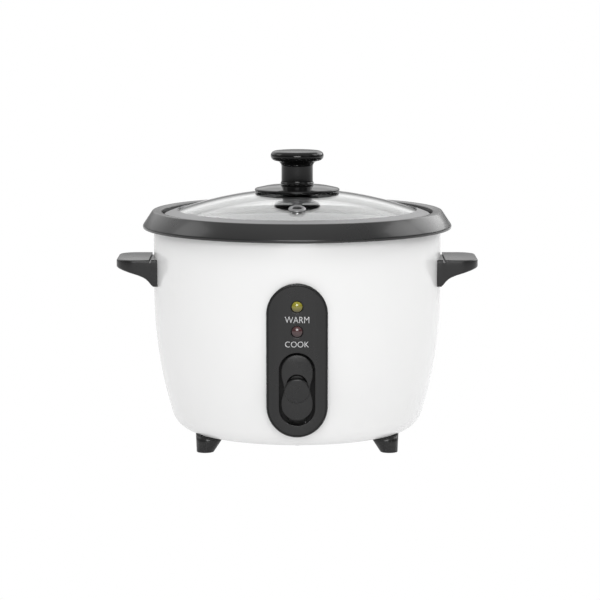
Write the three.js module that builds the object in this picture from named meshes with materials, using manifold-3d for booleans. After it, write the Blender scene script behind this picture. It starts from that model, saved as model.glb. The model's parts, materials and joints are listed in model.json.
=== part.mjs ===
// An electric rice cooker: a painted steel shell on three feet, a lined well with a cast heating plate, a
// lift-out coated pot whose wide flange caps the shell, a glass lid, a magnetic thermostat and its switch.
// Millimetres, +Z up, front towards -Y, origin on the table under the middle of the cooker.
import * as THREE from "three";
import { mergeVertices } from "three/addons/utils/BufferGeometryUtils.js";
import Module from "manifold-3d";

const wasm = await Module();
wasm.setup();

// ---------- driving dimensions ----------
const GAP = 0.3; // clearance left between pieces that touch
const ROUND = 44; // sides of a full turn on the large pieces

// outer shell
const BODY_R = 114.6; // outside of the straight upper wall
const FLOOR_Z = 12.7; // underside of the shell above the table
const RIM_Z = 176.5; // top of the folded rim
const ARC_TOP_Z = 124; // where the wall starts to draw in
const ARC_R = 340; // radius of that long draw-in
const CORNER_R = 20; // outer radius between wall and floor
const SHELL = 1.2; // sheet thickness
const FLOOR_HOLE_R = 60; // service hole that the base cover closes
const RIM_FOLD = 10.5; // width of the folded rim

// pot and its flange
const WELL = 15.7; // from the shell's outside to the pot's outside
const POT_WALL = 2;
const POT_FLOOR_Z = 64; // underside of the pot
const POT_CORNER_R = 14;
const SEAT_IN = 6.4; // lid seat, from the shell's outside inwards
const SEAT_DEPTH = 9.3; // lid seat below the flange's inner edge
const FLANGE_TOP_OUT = 0.7; // top outer edge of the flange, outside the shell's outside
const FLANGE_TOP_RISE = 0.8; // that edge above the inner edge
const FLANGE_OUT = 8.9; // widest edge, outside the shell's outside
const FLANGE_DROP = 12.3; // slope from the top outer edge to the widest edge
const FLANGE_LIP = 1.8; // turned-down lip below the widest edge

// liner and heater
const LINER_GAP = 2.5; // liner to pot
const LINER = 1;
const LINER_FLOOR_Z = 44; // underside of the liner's floor
const LINER_FLANGE_IN = 2; // edge of its flange to the shell's inside
const PLATE_R = 88;
const PLATE_THICK = 9.7;
const ELEMENT_RING_R = 60;
const ELEMENT_R = 3.3;
const ELEMENT_GAP_DEG = 24; // opening of the ring, at the rear
const SUPPORT_R = 40;
const TERMINAL_R = 2;
const TERMINAL_LENGTH = 10.4;

// magnetic thermostat, on the axis
const SENSOR_R = 17;
const SENSOR_HEIGHT = 14;
const SENSOR_WALL = 1;
const SENSOR_FLOAT = 1.5; // how far the pot can press the sensor down
const PLATE_HOLE_CLEARANCE = 2.5; // round the sensor
const FERRITE_R = 13;
const FERRITE_THICK = 5.4;
const MAGNET_R = 11;
const MAGNET_THICK = 5;
const HOUSING_FLANGE_R = 28;
const ROD_R = 2.5;
const ROD_BOTTOM_Z = 18;
const COLLAR_R = 6;
const COLLAR_THICK = 2;
const COLLAR_Z = 28; // underside of the collar that the lever lifts

// cook switch
const PIVOT_Y = -66;
const PIVOT_Z = 36;
const PIVOT_R = 1.5;
const THROW_DEG = 4.2; // lever travel from warm to cook
const LEVER_WIDTH = 9;
const BUTTON_Y = -45;
const BUTTON_R = 1.2;
const BUTTON_Z = 33.3;
const BUTTON_LENGTH = 4.2;

// control panel
const PANEL_WIDTH = 47.8;
const PANEL_HEIGHT = 119;
const PANEL_Z = 24.4; // lower end
const PANEL_PROUD = 3.4; // face in front of the shell's straight wall, at the top
const PANEL_DRAFT = 3; // how much the face leans in towards the bottom
const PANEL_WALL = 2.5;
const SLOT_WIDTH = 27.4;
const SLOT_HEIGHT = 56.4;
const SLOT_UP = 9.3; // slot above the panel's lower end
const PADDLE_SIDE_GAP = 1.5;
const PADDLE_THICK = 4;
const THUMB_R = 9.8;
const THUMB_PROUD = 5.5;
const LENS_R = 3.9;
const LENS_FLANGE_R = 5.2;
const WARM_DOWN = 17.8; // lamp centres below the panel's top end
const COOK_DOWN = 36.9;

// handles
const HANDLE_LENGTH = 29.1; // beyond the shell
const HANDLE_WIDTH = 60;
const HANDLE_DOWN = 25.2; // grip's top below the rim
const GRIP_TIP = 7.3; // grip thickness at its tip
const PAD_THICK = 3.6;
const PAD_UP = 0.6; // pad above the grip's top
const PAD_DOWN = 22; // pad below the grip's top
const HANDLE_SCREW_Y = 14;

// feet
const FOOT_RING_R = 84.2;
const FOOT_R = 6.8;
const FOOT_FLARE = 0.357; // growth of radius, and lean inwards, per mm of height
const FOOT_SCREW_IN = 4; // screw inside the foot's own centre

// base cover
const COVER_R = 68;
const COVER_THICK = 1.2;
const COVER_SCREW_R = 64;

// power inlet
const INLET_Z = 34.5;
const INLET_WIDTH = 24;
const INLET_HEIGHT = 15;
const INLET_FLANGE = 4; // flange beyond the body on each side
const INLET_FACE_OUT = -6.7; // outer face, from the shell's straight wall
const INLET_DEPTH = 29;
const SOCKET_DEPTH = 17;
const INLET_WALL = 1.4;
const PIN_RECESS = 6.5;

// lid
const SEAT_CLEARANCE = 1.3; // band to seat wall
const BAND = 0.8;
const BAND_WIDTH = 10; // how far the band covers the glass
const GLASS_THICK = 4;
const DOME_RISE = 20.3; // apex above the glass's upper edge
const VENT_RING_R = 72;
const VENT_FLANGE_R = 6.8;
const VENT_R = 4.8;
const VENT_HOLE_R = 3.7;
const KNOB_R = 21.2;
const KNOB_STEM_R = 12.6;
const KNOB_HEIGHT = 26.6;
const KNOB_CAP = 8.4;
const SKIRT_R = 34.1;
const SKIRT_EDGE_UP = 0.84; // underside of its edge above the glass
const SKIRT_EDGE = 1.4; // thickness there
const SKIRT_HOLLOW = 1.2; // hollow underside above the glass's apex
const SKIRT_OVER_GLASS = 4.2; // skirt's upper joint above the glass's apex
const BOSS_R = 11.8;
const BOSS_HEIGHT = 2;
const CAP_WASHER_R = 18.1;
const CAP_WASHER_THICK = 4;
const LID_SCREW_R = 2;

// ---------- materials ----------
const finish = (color, roughness, metalness, extra = {}) =>
  new THREE.MeshStandardMaterial({ color, roughness, metalness, ...extra });
const WHITE_PAINT = finish(0xf2f2f0, 0.3, 0.1);
const BLACK_PLASTIC = finish(0x2c2c2d, 0.45, 0);
const COATED_POT = finish(0x4a4a4b, 0.45, 0.4);
const STEEL = finish(0xb9babc, 0.35, 1);
const GALVANISED = finish(0x9da0a2, 0.55, 0.9);
const ALUMINIUM = finish(0xc4c5c7, 0.45, 1);
const GLASS = finish(0xdfe3e2, 0.08, 0, { transparent: true, opacity: 0.4 });
const AMBER = finish(0xb4a73c, 0.2, 0);
const RED = finish(0x6e4446, 0.2, 0);
const BRASS = finish(0xb59a55, 0.35, 1);
const FERRITE = finish(0x2f2f31, 0.7, 0);
const GREY_SILICONE = finish(0x8c8c8c, 0.6, 0);
const LEAD = finish(0x8a4b32, 0.6, 0);

// ---------- geometry helpers ----------
function solid(geometry) {
  const bare = geometry.index ? geometry.toNonIndexed() : geometry.clone();
  bare.deleteAttribute("normal");
  bare.deleteAttribute("uv");
  const merged = mergeVertices(bare, 1e-4);
  return new wasm.Manifold(
    new wasm.Mesh({
      numProp: 3,
      vertProperties: merged.attributes.position.array,
      triVerts: new Uint32Array(merged.index.array),
    }),
  );
}

function surface(made) {
  const mesh = made.getMesh();
  return new THREE.BufferGeometry()
    .setAttribute("position", new THREE.BufferAttribute(mesh.vertProperties, 3))
    .setIndex(new THREE.BufferAttribute(mesh.triVerts, 1));
}

const cut = (base, ...tools) => surface(tools.reduce((s, t) => s.subtract(solid(t)), solid(base)));
const join = (base, ...others) => surface(others.reduce((s, o) => s.add(solid(o)), solid(base)));
const common = (a, b) => surface(solid(a).intersect(solid(b)));

// Turns a closed [radius, height] outline, counter-clockwise, about Z.
function turned(outline, segments = 24) {
  const points = outline.map(([r, z]) => new THREE.Vector2(Math.max(r, 0), z));
  if (outline.some(([r]) => r > 1e-6 && r < 1e-3)) throw new Error("an outline point is almost on the axis");
  const closed = outline.every(([r]) => r > 0) ? [...points, points[0].clone()] : points;
  return new THREE.LatheGeometry(closed, segments).rotateX(Math.PI / 2);
}

const rod = (r, z0, z1, segments = 16) => turned([[0, z0], [r, z0], [r, z1], [0, z1]], segments);
const box = (x0, x1, y0, y1, z0, z1) =>
  new THREE.BoxGeometry(x1 - x0, y1 - y0, z1 - z0).translate((x0 + x1) / 2, (y0 + y1) / 2, (z0 + z1) / 2);

// Points of an arc about (cr, cz) between two angles in degrees, ends included.
function arc(cr, cz, radius, from, to, steps) {
  return Array.from({ length: steps + 1 }, (_, i) => {
    const a = THREE.MathUtils.degToRad(from + ((to - from) * i) / steps);
    return [cr + radius * Math.cos(a), cz + radius * Math.sin(a)];
  });
}

// A flat outline in X and Z, pushed along Y from y0 to y1.
function plate(shape, y0, y1, curveSegments = 12) {
  return new THREE.ExtrudeGeometry(shape, { depth: y1 - y0, bevelEnabled: false, curveSegments })
    .rotateX(Math.PI / 2)
    .translate(0, y1, 0);
}

// An upright slot outline with round ends.
function upright(width, z0, z1) {
  const r = width / 2;
  const shape = new THREE.Shape();
  shape.absarc(0, z1 - r, r, 0, Math.PI);
  shape.absarc(0, z0 + r, r, Math.PI, 2 * Math.PI);
  shape.closePath();
  return shape;
}

const outlineShape = (points) => new THREE.Shape(points.map(([u, v]) => new THREE.Vector2(u, v)));

// Lays something built about Z along X or along Y, towards the positive side.
const alongX = (geometry) => geometry.rotateY(Math.PI / 2);
const alongY = (geometry) => geometry.rotateX(-Math.PI / 2);

function tube(points, r, steps, sides = 8) {
  const path = new THREE.CatmullRomCurve3(points.map((p) => new THREE.Vector3(...p)));
  const section = outlineShape(
    Array.from({ length: sides }, (_, i) => {
      const a = (2 * Math.PI * i) / sides;
      return [r * Math.cos(a), r * Math.sin(a)];
    }),
  );
  return new THREE.ExtrudeGeometry(section, { steps, extrudePath: path, bevelEnabled: false });
}

// A pan-head screw on Z: the head's underside is at z = 0 and the shank points up.
function screw(headR, headH, shankR, length, segments = 8) {
  const outline = [
    [0, -headH], [headR * 0.7, -headH], [headR, -headH * 0.5], [headR, 0],
    [shankR, 0], [shankR, length], [0, length],
  ];
  return turned(outline, segments);
}

const cooker = new THREE.Group();
cooker.name = "rice_cooker";

function add(name, geometry, material, group = cooker, place = {}) {
  const mesh = new THREE.Mesh(geometry, material);
  mesh.name = name;
  if (place.position) mesh.position.set(...place.position);
  if (place.rotation) mesh.rotation.set(...place.rotation);
  group.add(mesh);
  return mesh;
}

// ---------- shell ----------
// The wall is a long arc that runs smoothly into the corner arc, and that one into the floor.
// A positive inset follows the same curve inside the sheet, a negative one outside it.
function wallCurve(inset) {
  const long = ARC_R - inset;
  const corner = CORNER_R - inset;
  const arcCentre = BODY_R - ARC_R;
  const cornerZ = FLOOR_Z + CORNER_R;
  const drop = ARC_TOP_Z - cornerZ;
  const reach = Math.sqrt((ARC_R - CORNER_R) ** 2 - drop ** 2);
  const lean = THREE.MathUtils.radToDeg(Math.atan2(drop, reach));
  return [
    ...arc(arcCentre + reach, cornerZ, corner, -90, -lean, 4),
    ...arc(arcCentre, ARC_TOP_Z, long, -lean, 0, 4).slice(1),
  ];
}

const outsideOfShell = (grow, top = RIM_Z) =>
  turned([[0, FLOOR_Z - grow], ...wallCurve(-grow), [BODY_R + grow, top + grow], [0, top + grow]], ROUND);

const insideR = BODY_R - SHELL;
const rimR = BODY_R - RIM_FOLD;
const panelTopZ = PANEL_Z + PANEL_HEIGHT;

function outerBody() {
  const shell = turned(
    [
      [FLOOR_HOLE_R, FLOOR_Z],
      ...wallCurve(0),
      [BODY_R, RIM_Z - 1.5],
      [BODY_R - 0.6, RIM_Z - 0.4],
      [BODY_R - 1.8, RIM_Z],
      [rimR, RIM_Z],
      [rimR, RIM_Z - SHELL],
      [insideR, RIM_Z - SHELL],
      ...wallCurve(SHELL).reverse(),
      [FLOOR_HOLE_R, FLOOR_Z + SHELL],
    ],
    ROUND,
  );
  const far = BODY_R + 20;
  const panelHole = plate(upright(PANEL_WIDTH - 6, PANEL_Z + 3, panelTopZ - 3), -far, -FLOOR_HOLE_R, 6);
  const inletHole = box(
    -INLET_WIDTH / 2 - GAP, INLET_WIDTH / 2 + GAP, FLOOR_HOLE_R, far,
    INLET_Z - INLET_HEIGHT / 2 - GAP, INLET_Z + INLET_HEIGHT / 2 + GAP,
  );
  const holes = [-1, 1].flatMap((side) => [-HANDLE_SCREW_Y, HANDLE_SCREW_Y].map((y) =>
    alongX(rod(1.7 + GAP, -12, 12, 8)).translate(side * BODY_R, y, handleScrewZ)));
  const footHoles = FEET.map(({ screwX, screwY }) =>
    rod(1.7 + GAP, -6, 6, 8).translate(screwX, screwY, FLOOR_Z));
  const coverHoles = COVER_SCREWS.map(({ x, y }) => rod(1.7 + GAP, -6, 6, 8).translate(x, y, FLOOR_Z));
  return cut(shell, panelHole, inletHole, ...holes, ...footHoles, ...coverHoles);
}

// ---------- feet and base cover ----------
const around = (radius, degrees) => {
  const a = THREE.MathUtils.degToRad(degrees);
  return { x: radius * Math.cos(a), y: radius * Math.sin(a), turn: a };
};
const FEET = [["left", 210], ["right", 330], ["rear", 90]].map(([name, degrees]) => {
  const at = around(FOOT_RING_R, degrees);
  const { x, y } = around(FOOT_RING_R - FOOT_SCREW_IN, degrees);
  return { name, ...at, screwX: x, screwY: y };
});
const COVER_SCREWS = [30, 150, 270].map((degrees) => around(COVER_SCREW_R, degrees));
const handleTopZ = RIM_Z - HANDLE_DOWN;
const handleScrewZ = handleTopZ - 8;

function foot({ x, y, turn, screwX, screwY }) {
  const height = FLOOR_Z + CORNER_R * 0.6;
  const flare = FOOT_R + FOOT_FLARE * height;
  const lean = new THREE.Matrix4().makeShear(0, 0, 0, 0, -FOOT_FLARE, 0);
  const cone = turned([[0, 0], [FOOT_R - 0.5, 0], [FOOT_R, 0.5], [flare, height], [0, height]], 20)
    .applyMatrix4(lean)
    .rotateZ(turn)
    .translate(x, y, 0);
  const pilot = rod(1.7 + GAP, FLOOR_Z - 8.5, FLOOR_Z + 20, 8).translate(screwX, screwY, 0);
  return cut(cone, outsideOfShell(GAP), pilot);
}

function baseCover() {
  const topZ = FLOOR_Z - GAP;
  const bottomZ = topZ - COVER_THICK;
  const disc = turned(
    [[0, bottomZ], [COVER_R - 0.5, bottomZ], [COVER_R, bottomZ + 0.6], [COVER_R, topZ], [0, topZ]],
    36,
  );
  const slots = [];
  for (let ring = 0; ring < 2; ring++) {
    const count = ring ? 8 : 5;
    for (let i = 0; i < count; i++) {
      const slot = box(-7, 7, -1.6, 1.6, topZ - 3, topZ + 1);
      slots.push(slot.translate(26 + 20 * ring, 0, 0).rotateZ((2 * Math.PI * (i + 0.5 * ring)) / count));
    }
  }
  const holes = COVER_SCREWS.map(({ x, y }) => rod(1.7 + GAP, -6, 6, 8).translate(x, y, topZ));
  return cut(disc, ...slots, ...holes);
}

// ---------- liner and heater ----------
const potR = BODY_R - WELL;
const linerR = potR + LINER_GAP;
const linerFloorTop = LINER_FLOOR_Z + LINER;
const plateTopZ = POT_FLOOR_Z - GAP;
const plateBottomZ = plateTopZ - PLATE_THICK;
const plateHoleR = SENSOR_R + PLATE_HOLE_CLEARANCE;
const elementZ = plateBottomZ - GAP - ELEMENT_R - 0.2;

const terminals = [-1, 1].map((side) => {
  const a = THREE.MathUtils.degToRad(90 + side * (ELEMENT_GAP_DEG / 2 + 3));
  const name = side > 0 ? "left" : "right";
  return { name, x: ELEMENT_RING_R * Math.cos(a), y: ELEMENT_RING_R * Math.sin(a) };
});

function innerLiner() {
  const top = RIM_Z - SHELL - GAP;
  const flangeR = insideR - LINER_FLANGE_IN;
  const bend = 6;
  const bucket = turned(
    [
      [HOUSING_FLANGE_R - 8, LINER_FLOOR_Z],
      ...arc(linerR + LINER - bend, LINER_FLOOR_Z + bend, bend, -90, 0, 3),
      [linerR + LINER, top - LINER],
      [flangeR, top - LINER],
      [flangeR, top],
      [linerR, top],
      ...arc(linerR + LINER - bend, LINER_FLOOR_Z + bend, bend - LINER, 0, -90, 3),
      [HOUSING_FLANGE_R - 8, linerFloorTop],
    ],
    36,
  );
  const holes = terminals.map(({ x, y }) => rod(TERMINAL_R + 1.5, -4, 4, 12).translate(x, y, LINER_FLOOR_Z));
  return cut(bucket, ...holes);
}

function heatingPlate() {
  const dish = 1.2;
  return turned(
    [
      [plateHoleR, plateBottomZ], [PLATE_R - 3, plateBottomZ], [PLATE_R, plateBottomZ + 3],
      [PLATE_R, plateTopZ - dish], [PLATE_R - 8, plateTopZ], [plateHoleR, plateTopZ],
    ],
    36,
  );
}

function heatingElement() {
  const start = 90 + ELEMENT_GAP_DEG / 2;
  const sweep = 360 - ELEMENT_GAP_DEG;
  const steps = 24;
  const points = Array.from({ length: steps + 1 }, (_, i) => {
    const { x, y } = around(ELEMENT_RING_R, start + (sweep * i) / steps);
    return [x, y, elementZ];
  });
  return tube(points, ELEMENT_R, steps, 6);
}

const plateSupport = () =>
  turned(
    [
      [SUPPORT_R - 2, linerFloorTop + GAP], [SUPPORT_R + 2, linerFloorTop + GAP],
      [SUPPORT_R + 2, plateBottomZ - GAP], [SUPPORT_R - 2, plateBottomZ - GAP],
    ],
    24,
  );

// ---------- magnetic thermostat ----------
const sensorTopZ = POT_FLOOR_Z - GAP;
const ferriteTopZ = sensorTopZ - SENSOR_WALL - GAP;
const ferriteZ = ferriteTopZ - FERRITE_THICK;
const leverReach = -PIVOT_Y;
const magnetLift = leverReach * THREE.MathUtils.degToRad(THROW_DEG);
const magnetTopZ = ferriteZ - magnetLift - SENSOR_FLOAT - GAP - 0.5;
const magnetZ = magnetTopZ - MAGNET_THICK;
const housingTopZ = LINER_FLOOR_Z - GAP;
const housingThick = 1.4;

const sensorCap = () =>
  turned(
    [
      [0, sensorTopZ - SENSOR_WALL], [SENSOR_R - SENSOR_WALL, sensorTopZ - SENSOR_WALL],
      [SENSOR_R - SENSOR_WALL, sensorTopZ - SENSOR_HEIGHT], [SENSOR_R, sensorTopZ - SENSOR_HEIGHT],
      [SENSOR_R, sensorTopZ - 1], [SENSOR_R - 1, sensorTopZ], [0, sensorTopZ],
    ],
    28,
  );

// The guide: a flange under the liner, a tube round the magnet, and a floor that the rod runs through.
function thermostatHousing() {
  const tubeR = MAGNET_R + 0.8;
  const floorZ = magnetZ - GAP - housingThick;
  return turned(
    [
      [ROD_R + 0.5, floorZ], [tubeR + housingThick, floorZ],
      [tubeR + housingThick, housingTopZ - housingThick],
      [HOUSING_FLANGE_R, housingTopZ - housingThick], [HOUSING_FLANGE_R, housingTopZ],
      [tubeR + housingThick, housingTopZ], [tubeR + housingThick, magnetTopZ + 2], [tubeR, magnetTopZ + 2],
      [tubeR, floorZ + housingThick], [ROD_R + 0.5, floorZ + housingThick],
    ],
    24,
  );
}

const magnetRod = () =>
  turned(
    [
      [0, ROD_BOTTOM_Z], [ROD_R - 0.5, ROD_BOTTOM_Z], [ROD_R, ROD_BOTTOM_Z + 0.5], [ROD_R, COLLAR_Z],
      [COLLAR_R, COLLAR_Z], [COLLAR_R, COLLAR_Z + COLLAR_THICK], [ROD_R, COLLAR_Z + COLLAR_THICK],
      [ROD_R, magnetZ - GAP], [0, magnetZ - GAP],
    ],
    12,
  );

function spring(radius, wire, z0, z1, turns) {
  const steps = turns * 10;
  const points = Array.from({ length: steps + 1 }, (_, i) => {
    const { x, y } = around(radius, (360 * turns * i) / steps);
    return [x, y, z0 + wire + ((z1 - z0 - 2 * wire) * i) / steps];
  });
  return tube(points, wire, steps, 4);
}

// ---------- cook switch ----------
const leverTopZ = COLLAR_Z - GAP;

function switchLever() {
  const front = PIVOT_Y - 36;
  const side = outlineShape([
    [front, PIVOT_Z - 1.5], [PIVOT_Y - 20, PIVOT_Z - 1.5], [PIVOT_Y - 6, PIVOT_Z - 3.5],
    [PIVOT_Y + 6, PIVOT_Z - 5], [BUTTON_Y + 4, BUTTON_Z - 6],
    [-30, leverTopZ - 5.5], [8, leverTopZ - 5.5], [8, leverTopZ - 1.2], [1.5, leverTopZ - 1.2],
    [1.5, leverTopZ], [-1.5, leverTopZ], [-1.5, leverTopZ - 1.2], [-28, leverTopZ - 1.2],
    [BUTTON_Y + 7, BUTTON_Z - GAP], [BUTTON_Y - 7, BUTTON_Z - GAP], [PIVOT_Y + 5, PIVOT_Z + 3.5],
    [PIVOT_Y - 6, PIVOT_Z + 3.5], [front, PIVOT_Z + 3.5],
  ]);
  const bar = new THREE.ExtrudeGeometry(side, { depth: LEVER_WIDTH, bevelEnabled: false })
    .applyMatrix4(new THREE.Matrix4().makeBasis(
      new THREE.Vector3(0, 1, 0), new THREE.Vector3(0, 0, 1), new THREE.Vector3(1, 0, 0)))
    .translate(-LEVER_WIDTH / 2, 0, 0);
  const pinHole = alongX(rod(PIVOT_R + GAP, -20, 20, 16)).translate(0, PIVOT_Y, PIVOT_Z);
  const forkSlot = box(-ROD_R - 0.5, ROD_R + 0.5, -7, 12, 0, leverTopZ + 2);
  return cut(bar, pinHole, forkSlot);
}

function leverBracket() {
  const ear = LEVER_WIDTH / 2 + 0.8;
  const thick = 1.4;
  const top = LINER_FLOOR_Z - GAP;
  const block = box(-ear - thick, ear + thick, PIVOT_Y - 6, PIVOT_Y + 6, PIVOT_Z - 4, top);
  const inside = box(-ear, ear, PIVOT_Y - 10, PIVOT_Y + 10, PIVOT_Z - 8, top - thick);
  const pinHole = alongX(rod(PIVOT_R + GAP, -20, 20, 12)).translate(0, PIVOT_Y, PIVOT_Z);
  return cut(block, inside, pinHole);
}

function microswitch() {
  const bottom = BUTTON_Z + 2.6;
  const body = box(-5, 5, BUTTON_Y - 7, BUTTON_Y + 7, bottom, LINER_FLOOR_Z - GAP);
  const bore = rod(BUTTON_R + GAP, bottom - 2, BUTTON_Z + BUTTON_LENGTH + 3, 12).translate(0, BUTTON_Y, 0);
  return cut(body, bore);
}

// The paddle that the thumb presses: an hourglass plate with a wedge-shaped thumb rest, on a hollow stem.
const panelR = (z) => BODY_R + PANEL_PROUD - (PANEL_DRAFT * (panelTopZ - z)) / PANEL_HEIGHT;
const slotZ = PANEL_Z + SLOT_UP;
const slotTopZ = slotZ + SLOT_HEIGHT;
const paddleDrop = (BODY_R + PIVOT_Y) * Math.sin(THREE.MathUtils.degToRad(THROW_DEG)) + 0.7;
const paddleZ = slotZ + paddleDrop;
const paddleTopZ = slotTopZ - PADDLE_SIDE_GAP;
const paddleFrontY = -(panelR(slotZ) - 0.9);

function switchPaddle() {
  const lobe = SLOT_WIDTH / 2 - PADDLE_SIDE_GAP;
  const waist = lobe - 1.9;
  const middle = (paddleZ + paddleTopZ) / 2;
  const outline = new THREE.Shape();
  outline.absarc(0, paddleTopZ - lobe, lobe, 0, Math.PI);
  outline.quadraticCurveTo(-waist, (paddleTopZ - lobe + middle) / 2, -waist, middle);
  outline.quadraticCurveTo(-lobe, (paddleZ + lobe + middle) / 2, -lobe, paddleZ + lobe);
  outline.absarc(0, paddleZ + lobe, lobe, Math.PI, 2 * Math.PI);
  outline.quadraticCurveTo(waist, (paddleZ + lobe + middle) / 2, waist, middle);
  outline.quadraticCurveTo(lobe, (paddleTopZ - lobe + middle) / 2, lobe, paddleTopZ - lobe);
  const face = plate(outline, paddleFrontY, paddleFrontY + PADDLE_THICK, 8);
  const thumbZ = middle - 2;
  const wedge = common(
    alongY(rod(THUMB_R, -1, THUMB_PROUD + 2, 28)).rotateZ(Math.PI).translate(0, paddleFrontY, thumbZ),
    new THREE.ExtrudeGeometry(
      outlineShape([
        [2, thumbZ - 12], [-THUMB_PROUD, thumbZ + 4], [-THUMB_PROUD + 0.8, thumbZ + 12], [2, thumbZ + 12],
      ]),
      { depth: 40, bevelEnabled: false },
    )
      .applyMatrix4(new THREE.Matrix4().makeBasis(
        new THREE.Vector3(0, 1, 0), new THREE.Vector3(0, 0, 1), new THREE.Vector3(1, 0, 0)))
      .translate(-20, paddleFrontY, 0),
  );
  const stemHalf = LEVER_WIDTH / 2 + 1.8;
  const stem = box(-stemHalf, stemHalf, paddleFrontY + 3.5, PIVOT_Y - 24, PIVOT_Z - 3.2, PIVOT_Z + 5.2);
  const pocketX = LEVER_WIDTH / 2 + GAP;
  const pocket = box(-pocketX, pocketX, PIVOT_Y - 36 - GAP, PIVOT_Y - 20, PIVOT_Z - 2.2, PIVOT_Z + 3.8);
  return cut(join(face, wedge, stem), pocket);
}

// ---------- control panel ----------
// A shallow moulding with the panel's outline, its face on a cone about the cooker's axis.
const coneOfPanel = (inset) =>
  turned(
    [
      [0, PANEL_Z - 10], [panelR(PANEL_Z - 10) - inset, PANEL_Z - 10],
      [panelR(panelTopZ + 10) - inset, panelTopZ + 10], [0, panelTopZ + 10],
    ],
    88,
  );

function controlPanel() {
  const far = BODY_R + 20;
  const back = -FLOOR_HOLE_R - 15;
  const outer = common(plate(upright(PANEL_WIDTH, PANEL_Z, panelTopZ), -far, back, 12), coneOfPanel(0));
  const w = PANEL_WALL;
  const inside = plate(upright(PANEL_WIDTH - 2 * w, PANEL_Z + w, panelTopZ - w), -far, back + 1, 10);
  const hollow = common(inside, coneOfPanel(w));
  const slot = plate(upright(SLOT_WIDTH, slotZ, slotTopZ), -far, back, 10);
  const lampHoles = [WARM_DOWN, COOK_DOWN].map((down) =>
    alongY(rod(LENS_R + GAP, -far, back, 20)).translate(0, 0, panelTopZ - down));
  return cut(outer, outsideOfShell(GAP), hollow, slot, ...lampHoles);
}

function lens(down) {
  const z = panelTopZ - down;
  const y = -(panelR(z) - PANEL_WALL - GAP);
  const proud = PANEL_WALL + GAP + 0.3;
  return turned(
    [
      [0, -1.2], [LENS_FLANGE_R, -1.2], [LENS_FLANGE_R, 0], [LENS_R, 0], [LENS_R, proud - 0.5],
      [LENS_R * 0.75, proud + 0.2], [LENS_R * 0.4, proud + 0.6], [0, proud + 0.75],
    ],
    20,
  )
    .rotateX(Math.PI / 2)
    .translate(0, y, z);
}

const LAMP_HOLDER = 1.3;
const lampBackY = -(linerR + LINER + GAP + LAMP_HOLDER);
function lamp(down) {
  const z = panelTopZ - down;
  const front = -(panelR(z) - PANEL_WALL - GAP) + 1.2 + GAP;
  const length = lampBackY - front - GAP;
  return alongY(turned([[0, 0], [1.6, 0], [2.8, 1.4], [2.8, length], [0, length]], 12))
    .translate(0, front, z);
}

const lampHolder = () =>
  box(-7, 7, lampBackY, lampBackY + LAMP_HOLDER, panelTopZ - COOK_DOWN - 7, panelTopZ - WARM_DOWN + 7);

// ---------- handles ----------
// Built on the +X side: the side outline pushed along Y, trimmed to the plan outline and to the shell.
function handle() {
  const tip = BODY_R + HANDLE_LENGTH;
  const top = handleTopZ;
  const pad = BODY_R + PAD_THICK;
  const half = HANDLE_WIDTH / 2;
  const side = outlineShape([
    [BODY_R - 12, top - PAD_DOWN], [BODY_R - 1, top - PAD_DOWN + 0.3], [BODY_R + 1.3, top - 19.7],
    [BODY_R + 5.3, top - 15.3], [tip - 4, top - GRIP_TIP - 0.6],
    [tip - 1, top - GRIP_TIP + 1.2], [tip, top - GRIP_TIP / 2], [tip - 0.9, top - 1.1], [tip - 2.8, top],
    [pad + 2, top], [pad + 0.6, top - 2], [pad, top - 2], [pad, top + PAD_UP], [BODY_R - 12, top + PAD_UP],
  ]);
  const bar = new THREE.ExtrudeGeometry(side, { depth: HANDLE_WIDTH, bevelEnabled: false })
    .rotateX(Math.PI / 2)
    .translate(0, half, 0);
  const plan = new THREE.Shape();
  plan.moveTo(BODY_R - 14, -half);
  plan.lineTo(tip - 11, -half);
  plan.bezierCurveTo(tip - 4, -half, tip, -half * 0.55, tip, 0);
  plan.bezierCurveTo(tip, half * 0.55, tip - 4, half, tip - 11, half);
  plan.lineTo(BODY_R - 14, half);
  plan.closePath();
  const planCut = { depth: 80, bevelEnabled: false, curveSegments: 7 };
  const trim = new THREE.ExtrudeGeometry(plan, planCut).translate(0, 0, top - 50);
  const screwHoles = [-HANDLE_SCREW_Y, HANDLE_SCREW_Y].map((y) =>
    alongX(rod(1.7 + GAP, -12, 14, 8)).translate(BODY_R, y, handleScrewZ));
  return cut(common(bar, trim), outsideOfShell(GAP, RIM_Z + 40), ...screwHoles);
}

// ---------- power inlet, at the rear ----------
const inletFaceY = BODY_R + INLET_FACE_OUT;
function powerInlet() {
  const w = INLET_WIDTH / 2;
  const h = INLET_HEIGHT / 2;
  const f = INLET_FLANGE;
  const flange = cut(
    plate(roundedBox(w + f, h + f, 4), inletFaceY - 20, inletFaceY, 5).translate(0, 0, INLET_Z),
    outsideOfShell(GAP),
  );
  const body = box(-w, w, inletFaceY - INLET_DEPTH, inletFaceY - 2, INLET_Z - h, INLET_Z + h);
  const mouth = roundedBox(w - INLET_WALL, h - INLET_WALL, 3);
  const socket = plate(mouth, inletFaceY - SOCKET_DEPTH, inletFaceY + 5, 4).translate(0, 0, INLET_Z);
  const pinHoles = PINS.map(({ x, z }) =>
    box(x - 2 - GAP, x + 2 + GAP, 0, inletFaceY, z - 1 - GAP, z + 1 + GAP));
  return cut(join(flange, body), socket, ...pinHoles);
}

function roundedBox(halfX, halfZ, r) {
  const s = new THREE.Shape();
  s.absarc(halfX - r, halfZ - r, r, 0, Math.PI / 2);
  s.absarc(-halfX + r, halfZ - r, r, Math.PI / 2, Math.PI);
  s.absarc(-halfX + r, -halfZ + r, r, Math.PI, 1.5 * Math.PI);
  s.absarc(halfX - r, -halfZ + r, r, 1.5 * Math.PI, 2 * Math.PI);
  s.closePath();
  return s;
}

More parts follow.
